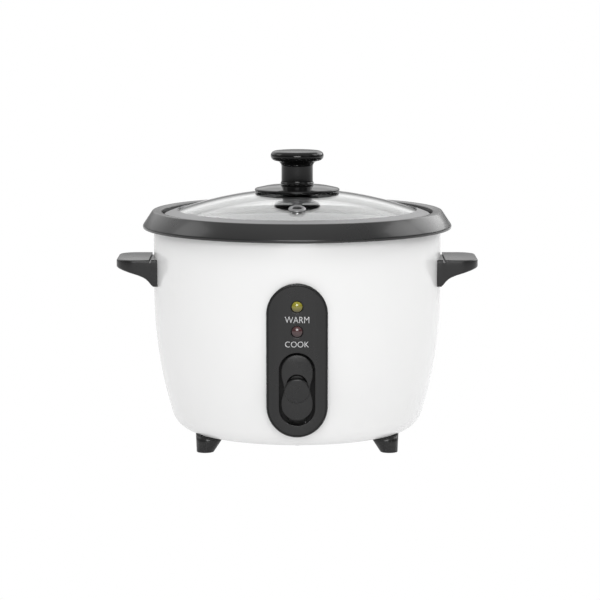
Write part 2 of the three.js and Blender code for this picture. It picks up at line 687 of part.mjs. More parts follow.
const PINS = [
  { name: "live", x: -7, z: INLET_Z - 2 },
  { name: "neutral", x: 7, z: INLET_Z - 2 },
  { name: "earth", x: 0, z: INLET_Z + 2 },
];
const pinBackY = inletFaceY - INLET_DEPTH - 4;
const inletPin = ({ x, z }) => box(x - 2, x + 2, pinBackY, inletFaceY - PIN_RECESS, z - 1, z + 1);

// ---------- pot ----------
const ledgeZ = RIM_Z + GAP + POT_WALL; // upper side of the ledge that the lid stands on
const seatR = BODY_R - SEAT_IN;
const flangeInnerZ = ledgeZ + SEAT_DEPTH;

function innerPot() {
  const w = POT_WALL;
  const topR = BODY_R + FLANGE_TOP_OUT;
  const topZ = flangeInnerZ + FLANGE_TOP_RISE;
  const tipR = BODY_R + FLANGE_OUT;
  const tipZ = topZ - FLANGE_DROP;
  const c = POT_CORNER_R;
  return turned(
    [
      [0, POT_FLOOR_Z],
      ...arc(potR - c, POT_FLOOR_Z + c, c, -90, 0, 4),
      [potR, ledgeZ - w],
      [seatR + w, ledgeZ - w],
      [seatR + w, flangeInnerZ - w],
      [topR - 0.9, topZ - w],
      [tipR - w, tipZ],
      [tipR - w, tipZ - FLANGE_LIP],
      [tipR - 0.5, tipZ - FLANGE_LIP],
      [tipR, tipZ],
      [topR + 0.6, topZ - 0.7],
      [topR - 0.6, topZ],
      [seatR + 0.8, flangeInnerZ + 0.3],
      [seatR, flangeInnerZ - 0.5],
      [seatR, ledgeZ],
      [potR - w + 1, ledgeZ],
      [potR - w, ledgeZ - 1],
      ...arc(potR - c, POT_FLOOR_Z + c, c - w, 0, -90, 4),
      [0, POT_FLOOR_Z + w],
    ],
    ROUND,
  );
}

// ---------- lid ----------
const bandR = seatR - SEAT_CLEARANCE;
const glassR = bandR - BAND - GAP;
const bandBottomZ = ledgeZ + GAP;
const domeUnder = glassR; // chord of the glass
const sphereR = (domeUnder ** 2 + DOME_RISE ** 2) / (2 * DOME_RISE);
const underEdge = Math.sqrt((sphereR - GLASS_THICK) ** 2 - glassR ** 2);
const sphereZ = bandBottomZ + BAND + GAP - underEdge; // centre of both glass faces
const apexZ = sphereZ + sphereR;
const domeZ = (r, radius = sphereR) => sphereZ + Math.sqrt(radius ** 2 - r ** 2);

// A run of points on a sphere about the dome's centre, from radius r0 to radius r1.
const onDome = (r0, r1, radius, steps) =>
  Array.from({ length: steps + 1 }, (_, i) => {
    const r = r0 + ((r1 - r0) * i) / steps;
    return [r, domeZ(r, radius)];
  });

const ventLean = Math.asin(VENT_RING_R / sphereR);
const onVent = (geometry) => geometry.rotateX(ventLean).translate(0, -VENT_RING_R, domeZ(VENT_RING_R));
const lidScrewHole = LID_SCREW_R + GAP;

function lidGlass() {
  const dome = turned(
    [
      ...onDome(lidScrewHole + 1, glassR, sphereR - GLASS_THICK, 6),
      ...onDome(glassR, lidScrewHole + 1, sphereR, 6),
    ],
    ROUND,
  );
  return cut(dome, onVent(rod(VENT_R + GAP, -GLASS_THICK - 4, 4, 16)));
}

// A rolled channel round the glass's edge.
function lidBand() {
  const over = sphereR + GAP;
  const inner = glassR - BAND_WIDTH;
  const under = sphereR - GLASS_THICK - GAP;
  const lower = glassR - BAND_WIDTH * 0.5;
  return turned(
    [
      [lower, domeZ(lower, under - BAND)], [glassR - 2, bandBottomZ],
      [bandR - 0.5, bandBottomZ], [bandR, bandBottomZ + 0.5],
      [bandR, domeZ(bandR, over + BAND) - 0.6],
      ...onDome(bandR - 0.8, inner, over + BAND, 1),
      ...onDome(inner, glassR + GAP, over, 1),
      [glassR + GAP, bandBottomZ + BAND],
      ...onDome(glassR - 1, lower, under, 1),
    ],
    ROUND,
  );
}

function ventEyelet() {
  const t = 1;
  const under = -GLASS_THICK - 2 * GAP;
  return onVent(
    turned(
      [
        [VENT_HOLE_R, under - t], [VENT_FLANGE_R - 0.6, under - t], [VENT_FLANGE_R - 0.6, under],
        [VENT_R, under], [VENT_R, GAP + 0.1], [VENT_FLANGE_R, GAP + 0.1], [VENT_FLANGE_R, t],
        [VENT_FLANGE_R - 1.2, t + 1.5], [VENT_HOLE_R + 0.6, t + 1.5], [VENT_HOLE_R, t + 0.6],
      ],
      16,
    ),
  );
}

const skirtTopZ = apexZ + SKIRT_OVER_GLASS;
const knobBottomZ = skirtTopZ + GAP;

function knobSkirt() {
  const hub = 10;
  const hubR = KNOB_STEM_R + 0.4;
  const edgeZ = domeZ(SKIRT_R) + SKIRT_EDGE_UP + SKIRT_EDGE * 0.57;
  const rise = skirtTopZ - edgeZ;
  return turned(
    [
      [lidScrewHole, apexZ + GAP], [hub, apexZ + GAP], [hub, apexZ + SKIRT_HOLLOW],
      [SKIRT_R - 4, edgeZ - 0.8], [SKIRT_R - 0.6, edgeZ - SKIRT_EDGE + 0.3], [SKIRT_R, edgeZ - 0.3],
      [SKIRT_R - 0.8, edgeZ + 0.5], [SKIRT_R - 8, skirtTopZ - rise * 0.5],
      [hubR, skirtTopZ - 0.5], [hubR - 0.5, skirtTopZ], [lidScrewHole, skirtTopZ],
    ],
    32,
  );
}

function lidKnob() {
  const z = knobBottomZ;
  const top = z + KNOB_HEIGHT;
  const cap = top - KNOB_CAP;
  const bore = 16;
  return turned(
    [
      [0, z + bore], [lidScrewHole, z + bore], [lidScrewHole, z], [KNOB_STEM_R + 0.6, z],
      [KNOB_STEM_R, z + 1.4], [KNOB_STEM_R, cap - 4.4], [KNOB_STEM_R + 1.4, cap - 1.6],
      [KNOB_STEM_R + 4.4, cap], [KNOB_R - 1.6, cap + 1.4], [KNOB_R, cap + 4], [KNOB_R - 0.8, cap + 6.4],
      [KNOB_R - 3, top - 0.3], [KNOB_R - 6, top], [0, top],
    ],
    28,
  );
}

const bossTopZ = domeZ(BOSS_R, sphereR - GLASS_THICK) - GAP;
const bossZ = bossTopZ - BOSS_HEIGHT;
const washerTopZ = bossZ - GAP;
const washerZ = washerTopZ - CAP_WASHER_THICK;
const lidBoss = () =>
  turned([[lidScrewHole, bossZ], [BOSS_R, bossZ], [BOSS_R, bossTopZ], [lidScrewHole, bossTopZ]], 20);
const lidWasher = () =>
  turned(
    [
      [lidScrewHole, washerZ], [CAP_WASHER_R - 1.6, washerZ],
      [CAP_WASHER_R, washerZ + 1.4], [CAP_WASHER_R, washerTopZ - 1.2],
      [CAP_WASHER_R - 1.4, washerTopZ], [lidScrewHole, washerTopZ],
    ],
    24,
  );

// ---------- assembly ----------
add("outer_body", outerBody(), WHITE_PAINT);
add("base_cover", baseCover(), GALVANISED);
COVER_SCREWS.forEach(({ x, y }, i) => {
  const z = FLOOR_Z - 2 * GAP - COVER_THICK;
  add(`cover_screw_${i + 1}`, screw(3, 1.6, 1.7, 7), STEEL, cooker, { position: [x, y, z] });
});
FEET.forEach((place) => {
  add(`foot_${place.name}`, foot(place), BLACK_PLASTIC);
  const z = FLOOR_Z + SHELL + 2 * GAP;
  add(`foot_screw_${place.name}`, screw(3, 1.6, 1.7, 8), STEEL, cooker, {
    position: [place.screwX, place.screwY, z], rotation: [Math.PI, 0, 0],
  });
});
add("inner_liner", innerLiner(), GALVANISED);
add("heating_plate", heatingPlate(), ALUMINIUM);
add("heating_element", heatingElement(), STEEL);
terminals.forEach(({ name, x, y }) =>
  add(`element_terminal_${name}`, rod(TERMINAL_R, 0, TERMINAL_LENGTH, 10), STEEL, cooker, {
    position: [x, y, elementZ - ELEMENT_R - GAP - TERMINAL_LENGTH],
  }));
add("plate_support", plateSupport(), STEEL);

add("thermostat_housing", thermostatHousing(), GALVANISED);
add("sensor_cap", sensorCap(), ALUMINIUM);
add("ferrite", rod(FERRITE_R, ferriteZ, ferriteTopZ, 24), FERRITE);
add("sensor_spring", spring(14.9, 0.6, housingTopZ + 2 * GAP, sensorTopZ - SENSOR_WALL - GAP, 4), STEEL);
add("magnet", rod(MAGNET_R, magnetZ, magnetTopZ, 24), FERRITE);
add("magnet_rod", magnetRod(), STEEL);
add("magnet_spring", spring(7, 0.5, magnetTopZ + GAP, ferriteZ - GAP, 4), STEEL);

add("switch_lever", switchLever(), GALVANISED);
add("switch_paddle", switchPaddle(), BLACK_PLASTIC);
add("lever_bracket", leverBracket(), GALVANISED);
add("lever_pin", alongX(rod(PIVOT_R, -9, 9, 12)), STEEL, cooker, { position: [0, PIVOT_Y, PIVOT_Z] });
add("microswitch", microswitch(), BLACK_PLASTIC);
add("microswitch_button", rod(BUTTON_R, BUTTON_Z, BUTTON_Z + BUTTON_LENGTH, 12), AMBER, cooker, {
  position: [0, BUTTON_Y, 0],
});

add("control_panel", controlPanel(), BLACK_PLASTIC);
add("warm_lens", lens(WARM_DOWN), AMBER);
add("cook_lens", lens(COOK_DOWN), RED);
add("warm_lamp", lamp(WARM_DOWN), GLASS);
add("cook_lamp", lamp(COOK_DOWN), GLASS);
add("lamp_holder", lampHolder(), BLACK_PLASTIC);

[["right", 0], ["left", Math.PI]].forEach(([side, turn]) => {
  const group = new THREE.Group();
  group.rotation.z = turn;
  cooker.add(group);
  add(`handle_${side}`, handle(), BLACK_PLASTIC, group);
  [-1, 1].forEach((end, i) =>
    add(`handle_screw_${side}_${i + 1}`, alongX(screw(3, 1.6, 1.7, 12)), STEEL, group, {
      position: [insideR - 1.9, end * HANDLE_SCREW_Y, handleScrewZ],
    }));
});

add("power_inlet", powerInlet(), BLACK_PLASTIC);
PINS.forEach((pin) => add(`inlet_pin_${pin.name}`, inletPin(pin), BRASS));

const leadR = 1.2;
const leadY = pinBackY - GAP;
const [rightTerminal, leftTerminal] = terminals;
const terminalZ = elementZ - ELEMENT_R - 2 * GAP - TERMINAL_LENGTH;
add("lead_neutral", tube([
  [PINS[1].x, leadY, PINS[1].z], [PINS[1].x, leadY - 3, PINS[1].z],
  [rightTerminal.x - 2, rightTerminal.y + 5, terminalZ - 8],
  [rightTerminal.x, rightTerminal.y, terminalZ - 3], [rightTerminal.x, rightTerminal.y, terminalZ],
], leadR, 12, 6), LEAD);
add("lead_live", tube([
  [PINS[0].x, leadY, PINS[0].z], [PINS[0].x, leadY - 3, PINS[0].z], [-14, leadY - 14, 24],
  [-34, 34, 20], [-40, 0, 20], [-30, -32, 26],
  [-14, BUTTON_Y, 39.5], [-8, BUTTON_Y, 40], [-5 - GAP, BUTTON_Y, 40],
], leadR, 24, 6), LEAD);
add("lead_earth", tube([
  [0, leadY, PINS[2].z], [0, leadY - 2, PINS[2].z],
  [0, leadY - 4, LINER_FLOOR_Z - 3], [0, leadY - 4, LINER_FLOOR_Z - GAP],
], leadR, 8, 6), LEAD);
const FUSE_R = 2.2;
const fuseZ = LINER_FLOOR_Z - GAP - FUSE_R - GAP;
add("lead_heater", tube([
  [leftTerminal.x, leftTerminal.y, terminalZ], [leftTerminal.x, leftTerminal.y, terminalZ - 3], [-22, 46, 29],
  [-27, 36, 36], [-24, 32, fuseZ], [-20, 32, fuseZ], [-17 - GAP, 32, fuseZ],
], leadR, 14, 6), LEAD);
const fuse = turned([[0, 0], [1.2, 0], [FUSE_R, 1.6], [FUSE_R, 15], [0, 15]], 12);
add("thermal_fuse", alongX(fuse), BRASS, cooker, {
  position: [-17, 32, fuseZ],
});

add("inner_pot", innerPot(), COATED_POT);

add("lid_glass", lidGlass(), GLASS);
add("lid_band", lidBand(), STEEL);
add("vent_eyelet", ventEyelet(), STEEL);
add("knob_skirt", knobSkirt(), BLACK_PLASTIC);
add("lid_knob", lidKnob(), BLACK_PLASTIC);
add("lid_boss", lidBoss(), BLACK_PLASTIC);
add("lid_washer", lidWasher(), GREY_SILICONE);
add("lid_screw", screw(4.5, 2, LID_SCREW_R, apexZ - washerZ + 18), STEEL, cooker, {
  position: [0, 0, washerZ - GAP],
});

export default cooker;
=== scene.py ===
"""A white rice cooker in its studio: each visible piece is modelled round the frame and given its finish.

Sizes are in millimetres and are turned into metres where a mesh is made.
"""

import json
import math

import bmesh
import bpy
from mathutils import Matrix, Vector


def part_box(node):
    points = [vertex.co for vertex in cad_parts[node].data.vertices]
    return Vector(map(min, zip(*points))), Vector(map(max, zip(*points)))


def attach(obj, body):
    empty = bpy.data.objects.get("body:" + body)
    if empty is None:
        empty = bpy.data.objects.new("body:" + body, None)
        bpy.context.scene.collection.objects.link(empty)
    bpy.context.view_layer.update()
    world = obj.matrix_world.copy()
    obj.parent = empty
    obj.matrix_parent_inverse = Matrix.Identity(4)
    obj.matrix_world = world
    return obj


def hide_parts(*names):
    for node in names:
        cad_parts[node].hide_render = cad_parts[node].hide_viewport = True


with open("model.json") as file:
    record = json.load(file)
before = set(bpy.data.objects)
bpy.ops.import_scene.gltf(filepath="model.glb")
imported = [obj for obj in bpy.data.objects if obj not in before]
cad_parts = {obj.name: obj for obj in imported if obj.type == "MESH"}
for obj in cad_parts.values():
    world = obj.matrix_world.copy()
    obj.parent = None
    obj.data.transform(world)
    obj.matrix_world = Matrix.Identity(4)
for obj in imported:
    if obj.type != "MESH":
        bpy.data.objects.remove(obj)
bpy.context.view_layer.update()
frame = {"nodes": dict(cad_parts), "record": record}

MM = 0.001
SIDES = 160  # of a full turn on the large pieces
SMALL_SIDES = 48
SMOOTH_ANGLE = math.radians(32)
GAP = 0.3  # left between two pieces that lie on each other
SAME = 0.01  # places closer than this count as one


def span(node):
    """Lowest and highest corner of a CAD node, in millimetres."""
    low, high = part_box(node)
    return low / MM, high / MM


# ---------- sizes read from the frame ----------
body_low, body_high = span("outer_body")
BODY_R, FLOOR_Z, RIM_Z = body_high.x, body_low.z, body_high.z
pot_low, pot_high = span("inner_pot")
band_low, band_high = span("lid_band")
panel_low, panel_high = span("control_panel")
grip_high = span("handle_right")[1]

# ---------- shape of the shell, as in the CAD source ----------
ARC_TOP_Z = 124.0
ARC_R = 340.0
CORNER_R = 20.0
SHELL = 1.2
WELL = 15.7  # from the shell's outside to the pot's wall


# ---------- selecting and editing ----------
def clear_table():
    """Leaves edit mode with nothing selected."""
    if bpy.context.mode != "OBJECT":
        bpy.ops.object.mode_set(mode="OBJECT")
    bpy.ops.object.select_all(action="DESELECT")


def take(*objects):
    """Selects these objects alone; the last one is active."""
    clear_table()
    for obj in objects:
        obj.select_set(True)
    bpy.context.view_layer.objects.active = objects[-1]


def added(name):
    """The primitive that was just added, under its own name and open for editing."""
    obj = bpy.context.active_object
    obj.name = name
    obj.data.name = name
    bpy.ops.object.mode_set(mode="EDIT")
    bpy.ops.mesh.select_all(action="SELECT")
    return obj


def pick(obj, wanted, kind="VERT"):
    """In edit mode, selects the vertices, edges or faces whose corners' places, in mm, pass a test."""
    bpy.ops.mesh.select_mode(type=kind)
    bpy.ops.mesh.select_all(action="DESELECT")
    mesh = bmesh.from_edit_mesh(obj.data)
    for part in {"VERT": mesh.verts, "EDGE": mesh.edges, "FACE": mesh.faces}[kind]:
        corners = [part] if kind == "VERT" else part.verts
        if wanted([corner.co / MM for corner in corners]):
            part.select_set(True)
    mesh.select_flush_mode()
    bmesh.update_edit_mesh(obj.data)


def pick_sharp(obj, wanted, angle=35):
    """Selects the sharp edges that pass a test, given their two ends' places in mm."""
    pick(obj, lambda places: False, "EDGE")
    bpy.ops.mesh.edges_select_sharp(sharpness=math.radians(angle))
    mesh = bmesh.from_edit_mesh(obj.data)
    for edge in mesh.edges:
        if edge.select and not wanted([corner.co / MM for corner in edge.verts]):
            edge.select_set(False)
    bmesh.update_edit_mesh(obj.data)


def shift(x=0, y=0, z=0):
    bpy.ops.transform.translate(value=(x * MM, y * MM, z * MM))


def grow(x, y, z, about=(0, 0, 0)):
    bpy.ops.transform.resize(value=(x, y, z), center_override=tuple(c * MM for c in about))


def soften(width, segments=3):
    """Rounds the selected edges."""
    bpy.ops.mesh.bevel(offset=width * MM, offset_type="OFFSET", segments=segments, affect="EDGES")


def closed(obj, angle=SMOOTH_ANGLE):
    """Leaves edit mode with faces outwards and smooth shading on all but the sharp edges."""
    take(obj)
    bpy.ops.object.mode_set(mode="EDIT")
    bpy.ops.mesh.select_all(action="SELECT")
    bpy.ops.mesh.remove_doubles(threshold=1e-7)
    bpy.ops.mesh.normals_make_consistent(inside=False)
    bpy.ops.object.mode_set(mode="OBJECT")
    bpy.ops.object.shade_smooth_by_angle(angle=angle)
    return obj


def place(obj, move=(0, 0, 0), turn=(0, 0, 0)):
    """Moves and turns a piece, then puts its place into its mesh. Turns are in degrees."""
    take(obj)
    obj.location = [c * MM for c in move]
    obj.rotation_euler = [math.radians(a) for a in turn]
    bpy.ops.object.transform_apply(location=True, rotation=True, scale=True)
    return obj


def copied(obj, name, move=(0, 0, 0), turn=(0, 0, 0)):
    """A copy with its own mesh, moved and turned."""
    take(obj)
    bpy.ops.object.duplicate(linked=False)
    twin = bpy.context.active_object
    twin.name = name
    twin.data.name = name
    return place(twin, move, turn)


def carve(obj, *tools, operation="DIFFERENCE"):
    """Cuts the tools out of a piece, or joins them to it, and clears them away."""
    for tool in tools:
        take(obj)
        step = obj.modifiers.new("carve", "BOOLEAN")
        step.operation = operation
        step.solver = "EXACT"
        step.object = tool
        bpy.ops.object.modifier_apply(modifier=step.name)
        bpy.data.objects.remove(tool)
    return obj


def thrown(name, rings, sides=SIDES, lean=(0, 0)):
    """A solid turned about Z, walked from its underside round the outside to its top.

    A ring is (radius, height) or (radius, height, rounding). A walk that starts or ends on radius 0 closes
    there, and any other closes on its first ring. lean moves each ring sideways by that much per mm of height.
    """
    clear_table()
    walls = [ring for ring in rings if ring[0] > 0]
    radius, height = walls[0][:2]
    bpy.ops.mesh.primitive_circle_add(vertices=sides, radius=radius * MM)
    obj = added(name)
    shift(lean[0] * height, lean[1] * height, height)
    for next_radius, next_height in (ring[:2] for ring in walls[1:]):
        rise = next_height - height
        bpy.ops.mesh.extrude_edges_move()
        shift(lean[0] * rise, lean[1] * rise, rise)
        k = next_radius / radius
        grow(k, k, 1, (lean[0] * next_height, lean[1] * next_height, next_height))
        radius, height = next_radius, next_height
    if rings[-1][0] == 0:
        bpy.ops.mesh.extrude_edges_move()
        shift(z=rings[-1][1] - height)
        bpy.ops.mesh.merge(type="CENTER")
    if rings[0][0] == 0:
        bpy.ops.mesh.select_all(action="DESELECT")
        bpy.ops.mesh.select_non_manifold()
        bpy.ops.mesh.extrude_edges_move()
        shift(z=rings[0][1] - walls[0][1])
        bpy.ops.mesh.merge(type="CENTER")
    if rings[0][0] > 0 and rings[-1][0] > 0:
        bpy.ops.mesh.select_all(action="DESELECT")
        bpy.ops.mesh.select_non_manifold()
        bpy.ops.mesh.bridge_edge_loops()
    for width in sorted({ring[2] for ring in walls if len(ring) > 2}):
        soft = [ring for ring in walls if len(ring) > 2 and ring[2] == width]

        def on_ring(places, near=0.004):
            for r, z, _ in soft:
                centre = Vector((lean[0] * z, lean[1] * z, z))
                if all(abs(p.z - z) < near and abs((p - centre).to_2d().length - r) < near for p in places):
                    return True
            return False

        pick(obj, on_ring, "EDGE")
        soften(width)
    return closed(obj)


def block(name, low, high):
    """A box between two corners, open for editing."""
    clear_table()
    bpy.ops.mesh.primitive_cube_add(size=MM)
    obj = added(name)
    grow(high[0] - low[0], high[1] - low[1], high[2] - low[2])
    shift((low[0] + high[0]) / 2, (low[1] + high[1]) / 2, (low[2] + high[2]) / 2)
    return obj


def drum(name, radius, y0, y1, z=0, sides=SMALL_SIDES):
    """A cylinder lying along Y, open for editing."""
    clear_table()
    bpy.ops.mesh.primitive_cylinder_add(vertices=sides, radius=radius * MM, depth=(y1 - y0) * MM)
    obj = added(name)
    bpy.ops.transform.rotate(value=math.pi / 2, orient_axis="X", center_override=(0, 0, 0))
    shift(0, (y0 + y1) / 2, z)
    return obj


def race_track(name, width, z0, z1, y0, y1):
    """An upright plate with round ends, open for editing."""
    sides = 96
    obj = drum(name, width / 2 / math.cos(math.pi / sides), y0, y1, sides=sides)
    bpy.ops.transform.rotate(value=math.pi / sides, orient_axis="Y", center_override=(0, 0, 0))
    reach = (z1 - z0 - width) / 2
    pick(obj, lambda places: places[0].z > 0)
    shift(z=reach)
    pick(obj, lambda places: places[0].z < 0)
    shift(z=-reach)
    bpy.ops.mesh.select_all(action="SELECT")
    shift(z=(z0 + z1) / 2)
    return obj


def sweep(cr, cz, radius, start, end, steps):
    """Rings along an arc about (cr, cz), between two angles in degrees."""
    rings = []
    for i in range(steps + 1):
        a = math.radians(start + (end - start) * i / steps)
        rings.append((cr + radius * math.cos(a), cz + radius * math.sin(a)))
    return rings


def wall_rings(inset=0.0):
    """The shell's wall: a corner arc that runs into a long arc, inset by that much."""
    drop = ARC_TOP_Z - (FLOOR_Z + CORNER_R)
    reach = math.sqrt((ARC_R - CORNER_R) ** 2 - drop**2)
    angle = math.degrees(math.atan2(drop, reach))
    centre = BODY_R - ARC_R
    corner = sweep(centre + reach, FLOOR_Z + CORNER_R, CORNER_R - inset, -90, -angle, 10)
    return corner + sweep(centre, ARC_TOP_Z, ARC_R - inset, -angle, 0, 14)[1:]


def shell_solid(name, grown=0.15):
    """The shell's outside as a solid, for cutting the pieces that sit on it."""
    top = RIM_Z + 60
    return thrown(name, [(0, FLOOR_Z - grown)] + wall_rings(-grown) + [(BODY_R + grown, top), (0, top)])


# ---------- finishes ----------
def group_of(name, inputs, outputs):
    """An empty shader node group with its sockets."""
    tree = bpy.data.node_groups.new(name, "ShaderNodeTree")
    for label, value in inputs:
        socket = tree.interface.new_socket(label, in_out="INPUT", socket_type="NodeSocketFloat")
        socket.default_value = value
    for label in outputs:
        tree.interface.new_socket(label, in_out="OUTPUT", socket_type="NodeSocketFloat")
    return tree, tree.nodes.new("NodeGroupInput"), tree.nodes.new("NodeGroupOutput")


def moulded_grain():
    """Fine spark-eroded grain, and slow clouds of handling over it."""
    scales = [("Grain Scale", 1800), ("Cloud Scale", 25)]
    tree, given, out = group_of("moulded_grain", scales, ["Grain", "Clouds"])
    place_node = tree.nodes.new("ShaderNodeTexCoord")
    grain = tree.nodes.new("ShaderNodeTexNoise")
    clouds = tree.nodes.new("ShaderNodeTexNoise")
    grain.inputs["Detail"].default_value = 3
    clouds.inputs["Detail"].default_value = 4
    for node, scale, label in ((grain, "Grain Scale", "Grain"), (clouds, "Cloud Scale", "Clouds")):
        tree.links.new(place_node.outputs["Object"], node.inputs["Vector"])
        tree.links.new(given.outputs[scale], node.inputs["Scale"])
        tree.links.new(node.outputs["Fac"], out.inputs[label])
    return tree


def turning_lines():
    """Fine rings about the cooker's axis, as a lathe or a polishing wheel leaves them."""
    tree, given, out = group_of("turning_lines", [("Line Scale", 3000)], ["Lines"])
    place_node = tree.nodes.new("ShaderNodeTexCoord")
    split = tree.nodes.new("ShaderNodeSeparateXYZ")
    flat = tree.nodes.new("ShaderNodeCombineXYZ")
    reach = tree.nodes.new("ShaderNodeVectorMath")
    reach.operation = "LENGTH"
    line = tree.nodes.new("ShaderNodeCombineXYZ")
    noise = tree.nodes.new("ShaderNodeTexNoise")
    noise.inputs["Detail"].default_value = 2
    tree.links.new(place_node.outputs["Object"], split.inputs[0])
    tree.links.new(split.outputs["X"], flat.inputs["X"])
    tree.links.new(split.outputs["Y"], flat.inputs["Y"])
    tree.links.new(flat.outputs[0], reach.inputs[0])
    tree.links.new(reach.outputs["Value"], line.inputs["X"])
    tree.links.new(split.outputs["Z"], line.inputs["Y"])
    tree.links.new(line.outputs[0], noise.inputs["Vector"])
    tree.links.new(given.outputs["Line Scale"], noise.inputs["Scale"])
    tree.links.new(noise.outputs["Fac"], out.inputs["Lines"])
    return tree


GRAIN = moulded_grain()
LINES = turning_lines()


def finish(name, colour, other, rough, grain=(1800, 0.05, 0.03), clouds=25, lines=None,
           metallic=0.0, coat=0.0, ior=1.5, clear=0.0):
    """A finish with two close colours clouded together, a roughness range, and its grain or turning lines.

    grain and lines are (scale, bump strength, height in mm). clear is how much light goes through.
    """
    made = bpy.data.materials.new(name)
    made.use_nodes = True
    tree = made.node_tree
    shader = tree.nodes["Principled BSDF"]
    shader.inputs["Metallic"].default_value = metallic
    shader.inputs["Coat Weight"].default_value = coat
    shader.inputs["Coat Roughness"].default_value = 0.08
    shader.inputs["IOR"].default_value = ior
    shader.inputs["Transmission Weight"].default_value = clear
    texture = tree.nodes.new("ShaderNodeGroup")
    texture.node_tree = GRAIN
    texture.inputs["Grain Scale"].default_value = grain[0]
    texture.inputs["Cloud Scale"].default_value = clouds
    tint = tree.nodes.new("ShaderNodeMix")
    tint.data_type = "RGBA"
    tint.inputs["A"].default_value = (*colour, 1)
    tint.inputs["B"].default_value = (*other, 1)
    tree.links.new(texture.outputs["Clouds"], tint.inputs["Factor"])
    tree.links.new(tint.outputs["Result"], shader.inputs["Base Color"])
    spread = tree.nodes.new("ShaderNodeMapRange")
    spread.inputs["From Min"].default_value = 0.3
    spread.inputs["From Max"].default_value = 0.7
    spread.inputs["To Min"].default_value = rough[0]
    spread.inputs["To Max"].default_value = rough[1]
    tree.links.new(texture.outputs["Clouds"], spread.inputs["Value"])
    tree.links.new(spread.outputs["Result"], shader.inputs["Roughness"])
    bump = tree.nodes.new("ShaderNodeBump")
    bump.inputs["Strength"].default_value = grain[1]
    bump.inputs["Distance"].default_value = grain[2] * MM
    tree.links.new(texture.outputs["Grain"], bump.inputs["Height"])
    tree.links.new(bump.outputs["Normal"], shader.inputs["Normal"])
    if lines:
        rings = tree.nodes.new("ShaderNodeGroup")
        rings.node_tree = LINES
        rings.inputs["Line Scale"].default_value = lines[0]
        cut = tree.nodes.new("ShaderNodeBump")
        cut.inputs["Strength"].default_value = lines[1]
        cut.inputs["Distance"].default_value = lines[2] * MM
        tree.links.new(rings.outputs["Lines"], cut.inputs["Height"])
        tree.links.new(cut.outputs["Normal"], bump.inputs["Normal"])
    return made


def grey(value):
    return (value, value, value * 1.01)


WHITE = finish("white_enamel", (0.87, 0.87, 0.865), (0.9, 0.9, 0.895), (0.2, 0.26), (260, 0.04, 0.05),
               coat=0.4)
CHARCOAL = finish("charcoal_plastic", grey(0.0105), grey(0.0135), (0.24, 0.32), (1400, 0.06, 0.02), ior=1.46)
SATIN_BLACK = finish("satin_black_plastic", grey(0.004), grey(0.006), (0.1, 0.15), (2200, 0.03, 0.02), ior=1.38)
# painted shade: a near-black dull finish for the box that stands in for the shade inside the slot
SHADE_BLACK = finish("slot_shade_black", grey(0.004), grey(0.006), (0.6, 0.7), (1400, 0.2, 0.03))
COATING = finish("dark_coating", grey(0.01), grey(0.014), (0.26, 0.34), (1500, 0.12, 0.03), coat=0.15)
POT_INSIDE = finish("satin_pot_inside", grey(0.76), grey(0.82), (0.34, 0.42), lines=(1400, 0.04, 0.03),
                    metallic=0.1)
BAND_STEEL = finish("matt_stainless", grey(0.26), grey(0.31), (0.42, 0.5), lines=(3000, 0.2, 0.02), metallic=1)
STAINLESS = finish("brushed_stainless", grey(0.6), grey(0.66), (0.2, 0.3), lines=(3600, 0.2, 0.02), metallic=1)
ZINC = finish("galvanised_sheet", grey(0.42), grey(0.6), (0.38, 0.55), (160, 0.15, 0.04), 140, metallic=0.9)
CAST = finish("turned_aluminium", grey(0.62), grey(0.7), (0.34, 0.44), lines=(900, 0.4, 0.06), metallic=1)
BRASS = finish("brass", (0.62, 0.46, 0.2), (0.68, 0.52, 0.25), (0.25, 0.35), metallic=1)
DARK_CERAMIC = finish("ferrite_ceramic", grey(0.03), grey(0.05), (0.6, 0.7), (900, 0.3, 0.05))
SILICONE = finish("grey_silicone", grey(0.5), grey(0.56), (0.5, 0.6), (900, 0.08, 0.03))
BRAID = finish("braided_insulation", (0.3, 0.08, 0.03), (0.4, 0.13, 0.05), (0.6, 0.75), (1500, 0.5, 0.1))
INK = finish("white_ink", grey(0.6), grey(0.66), (0.4, 0.5), (1200, 0.05, 0.01))
GLASS_TINT = (0.97, 0.98, 0.975)
HANDLED = [c * 0.98 for c in GLASS_TINT]  # the faintest film of handling
GLASS = finish("tempered_glass", GLASS_TINT, HANDLED, (0.0, 0.012), (40, 0.015, 0.05), 18, clear=1)


def lens_finish(name, lit_top_colour, lower, low_z, high_z):
    """A moulded lens whose colour runs from painted light at its top to painted shade at its bottom."""
    made = finish(name, lit_top_colour, lit_top_colour, (0.12, 0.2), grain=(600, 0.05, 0.02), coat=0.6)
    tree = made.node_tree
    shader = tree.nodes["Principled BSDF"]
    where = tree.nodes.new("ShaderNodeTexCoord")
    split = tree.nodes.new("ShaderNodeSeparateXYZ")
    ramp = tree.nodes.new("ShaderNodeMapRange")
    ramp.inputs["From Min"].default_value = low_z * MM
    ramp.inputs["From Max"].default_value = high_z * MM
    # painted light and shade: the colour is blended by height from the shaded bottom to the lit top
    mix = tree.nodes.new("ShaderNodeMix")
    mix.data_type = "RGBA"
    mix.inputs["A"].default_value = (*lower, 1)
    mix.inputs["B"].default_value = (*lit_top_colour, 1)
    tree.links.new(where.outputs["Object"], split.inputs[0])
    tree.links.new(split.outputs["Z"], ramp.inputs["Value"])
    tree.links.new(ramp.outputs["Result"], mix.inputs["Factor"])
    tree.links.new(mix.outputs["Result"], shader.inputs["Base Color"])
    return made


def deliver(obj, material, body, slot, *nodes):
    """Gives a finished piece its material and its place in the frame."""
    if not obj.data.materials:
        obj.data.materials.append(material)
    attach(obj, body)
    if nodes:
        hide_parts(*nodes)
    return obj


# ---------- shell, base and feet ----------
FEET = ("left", "right", "rear")
FOOT_RING_R = 84.2  # where the feet stand
INLET_FLANGE = 4


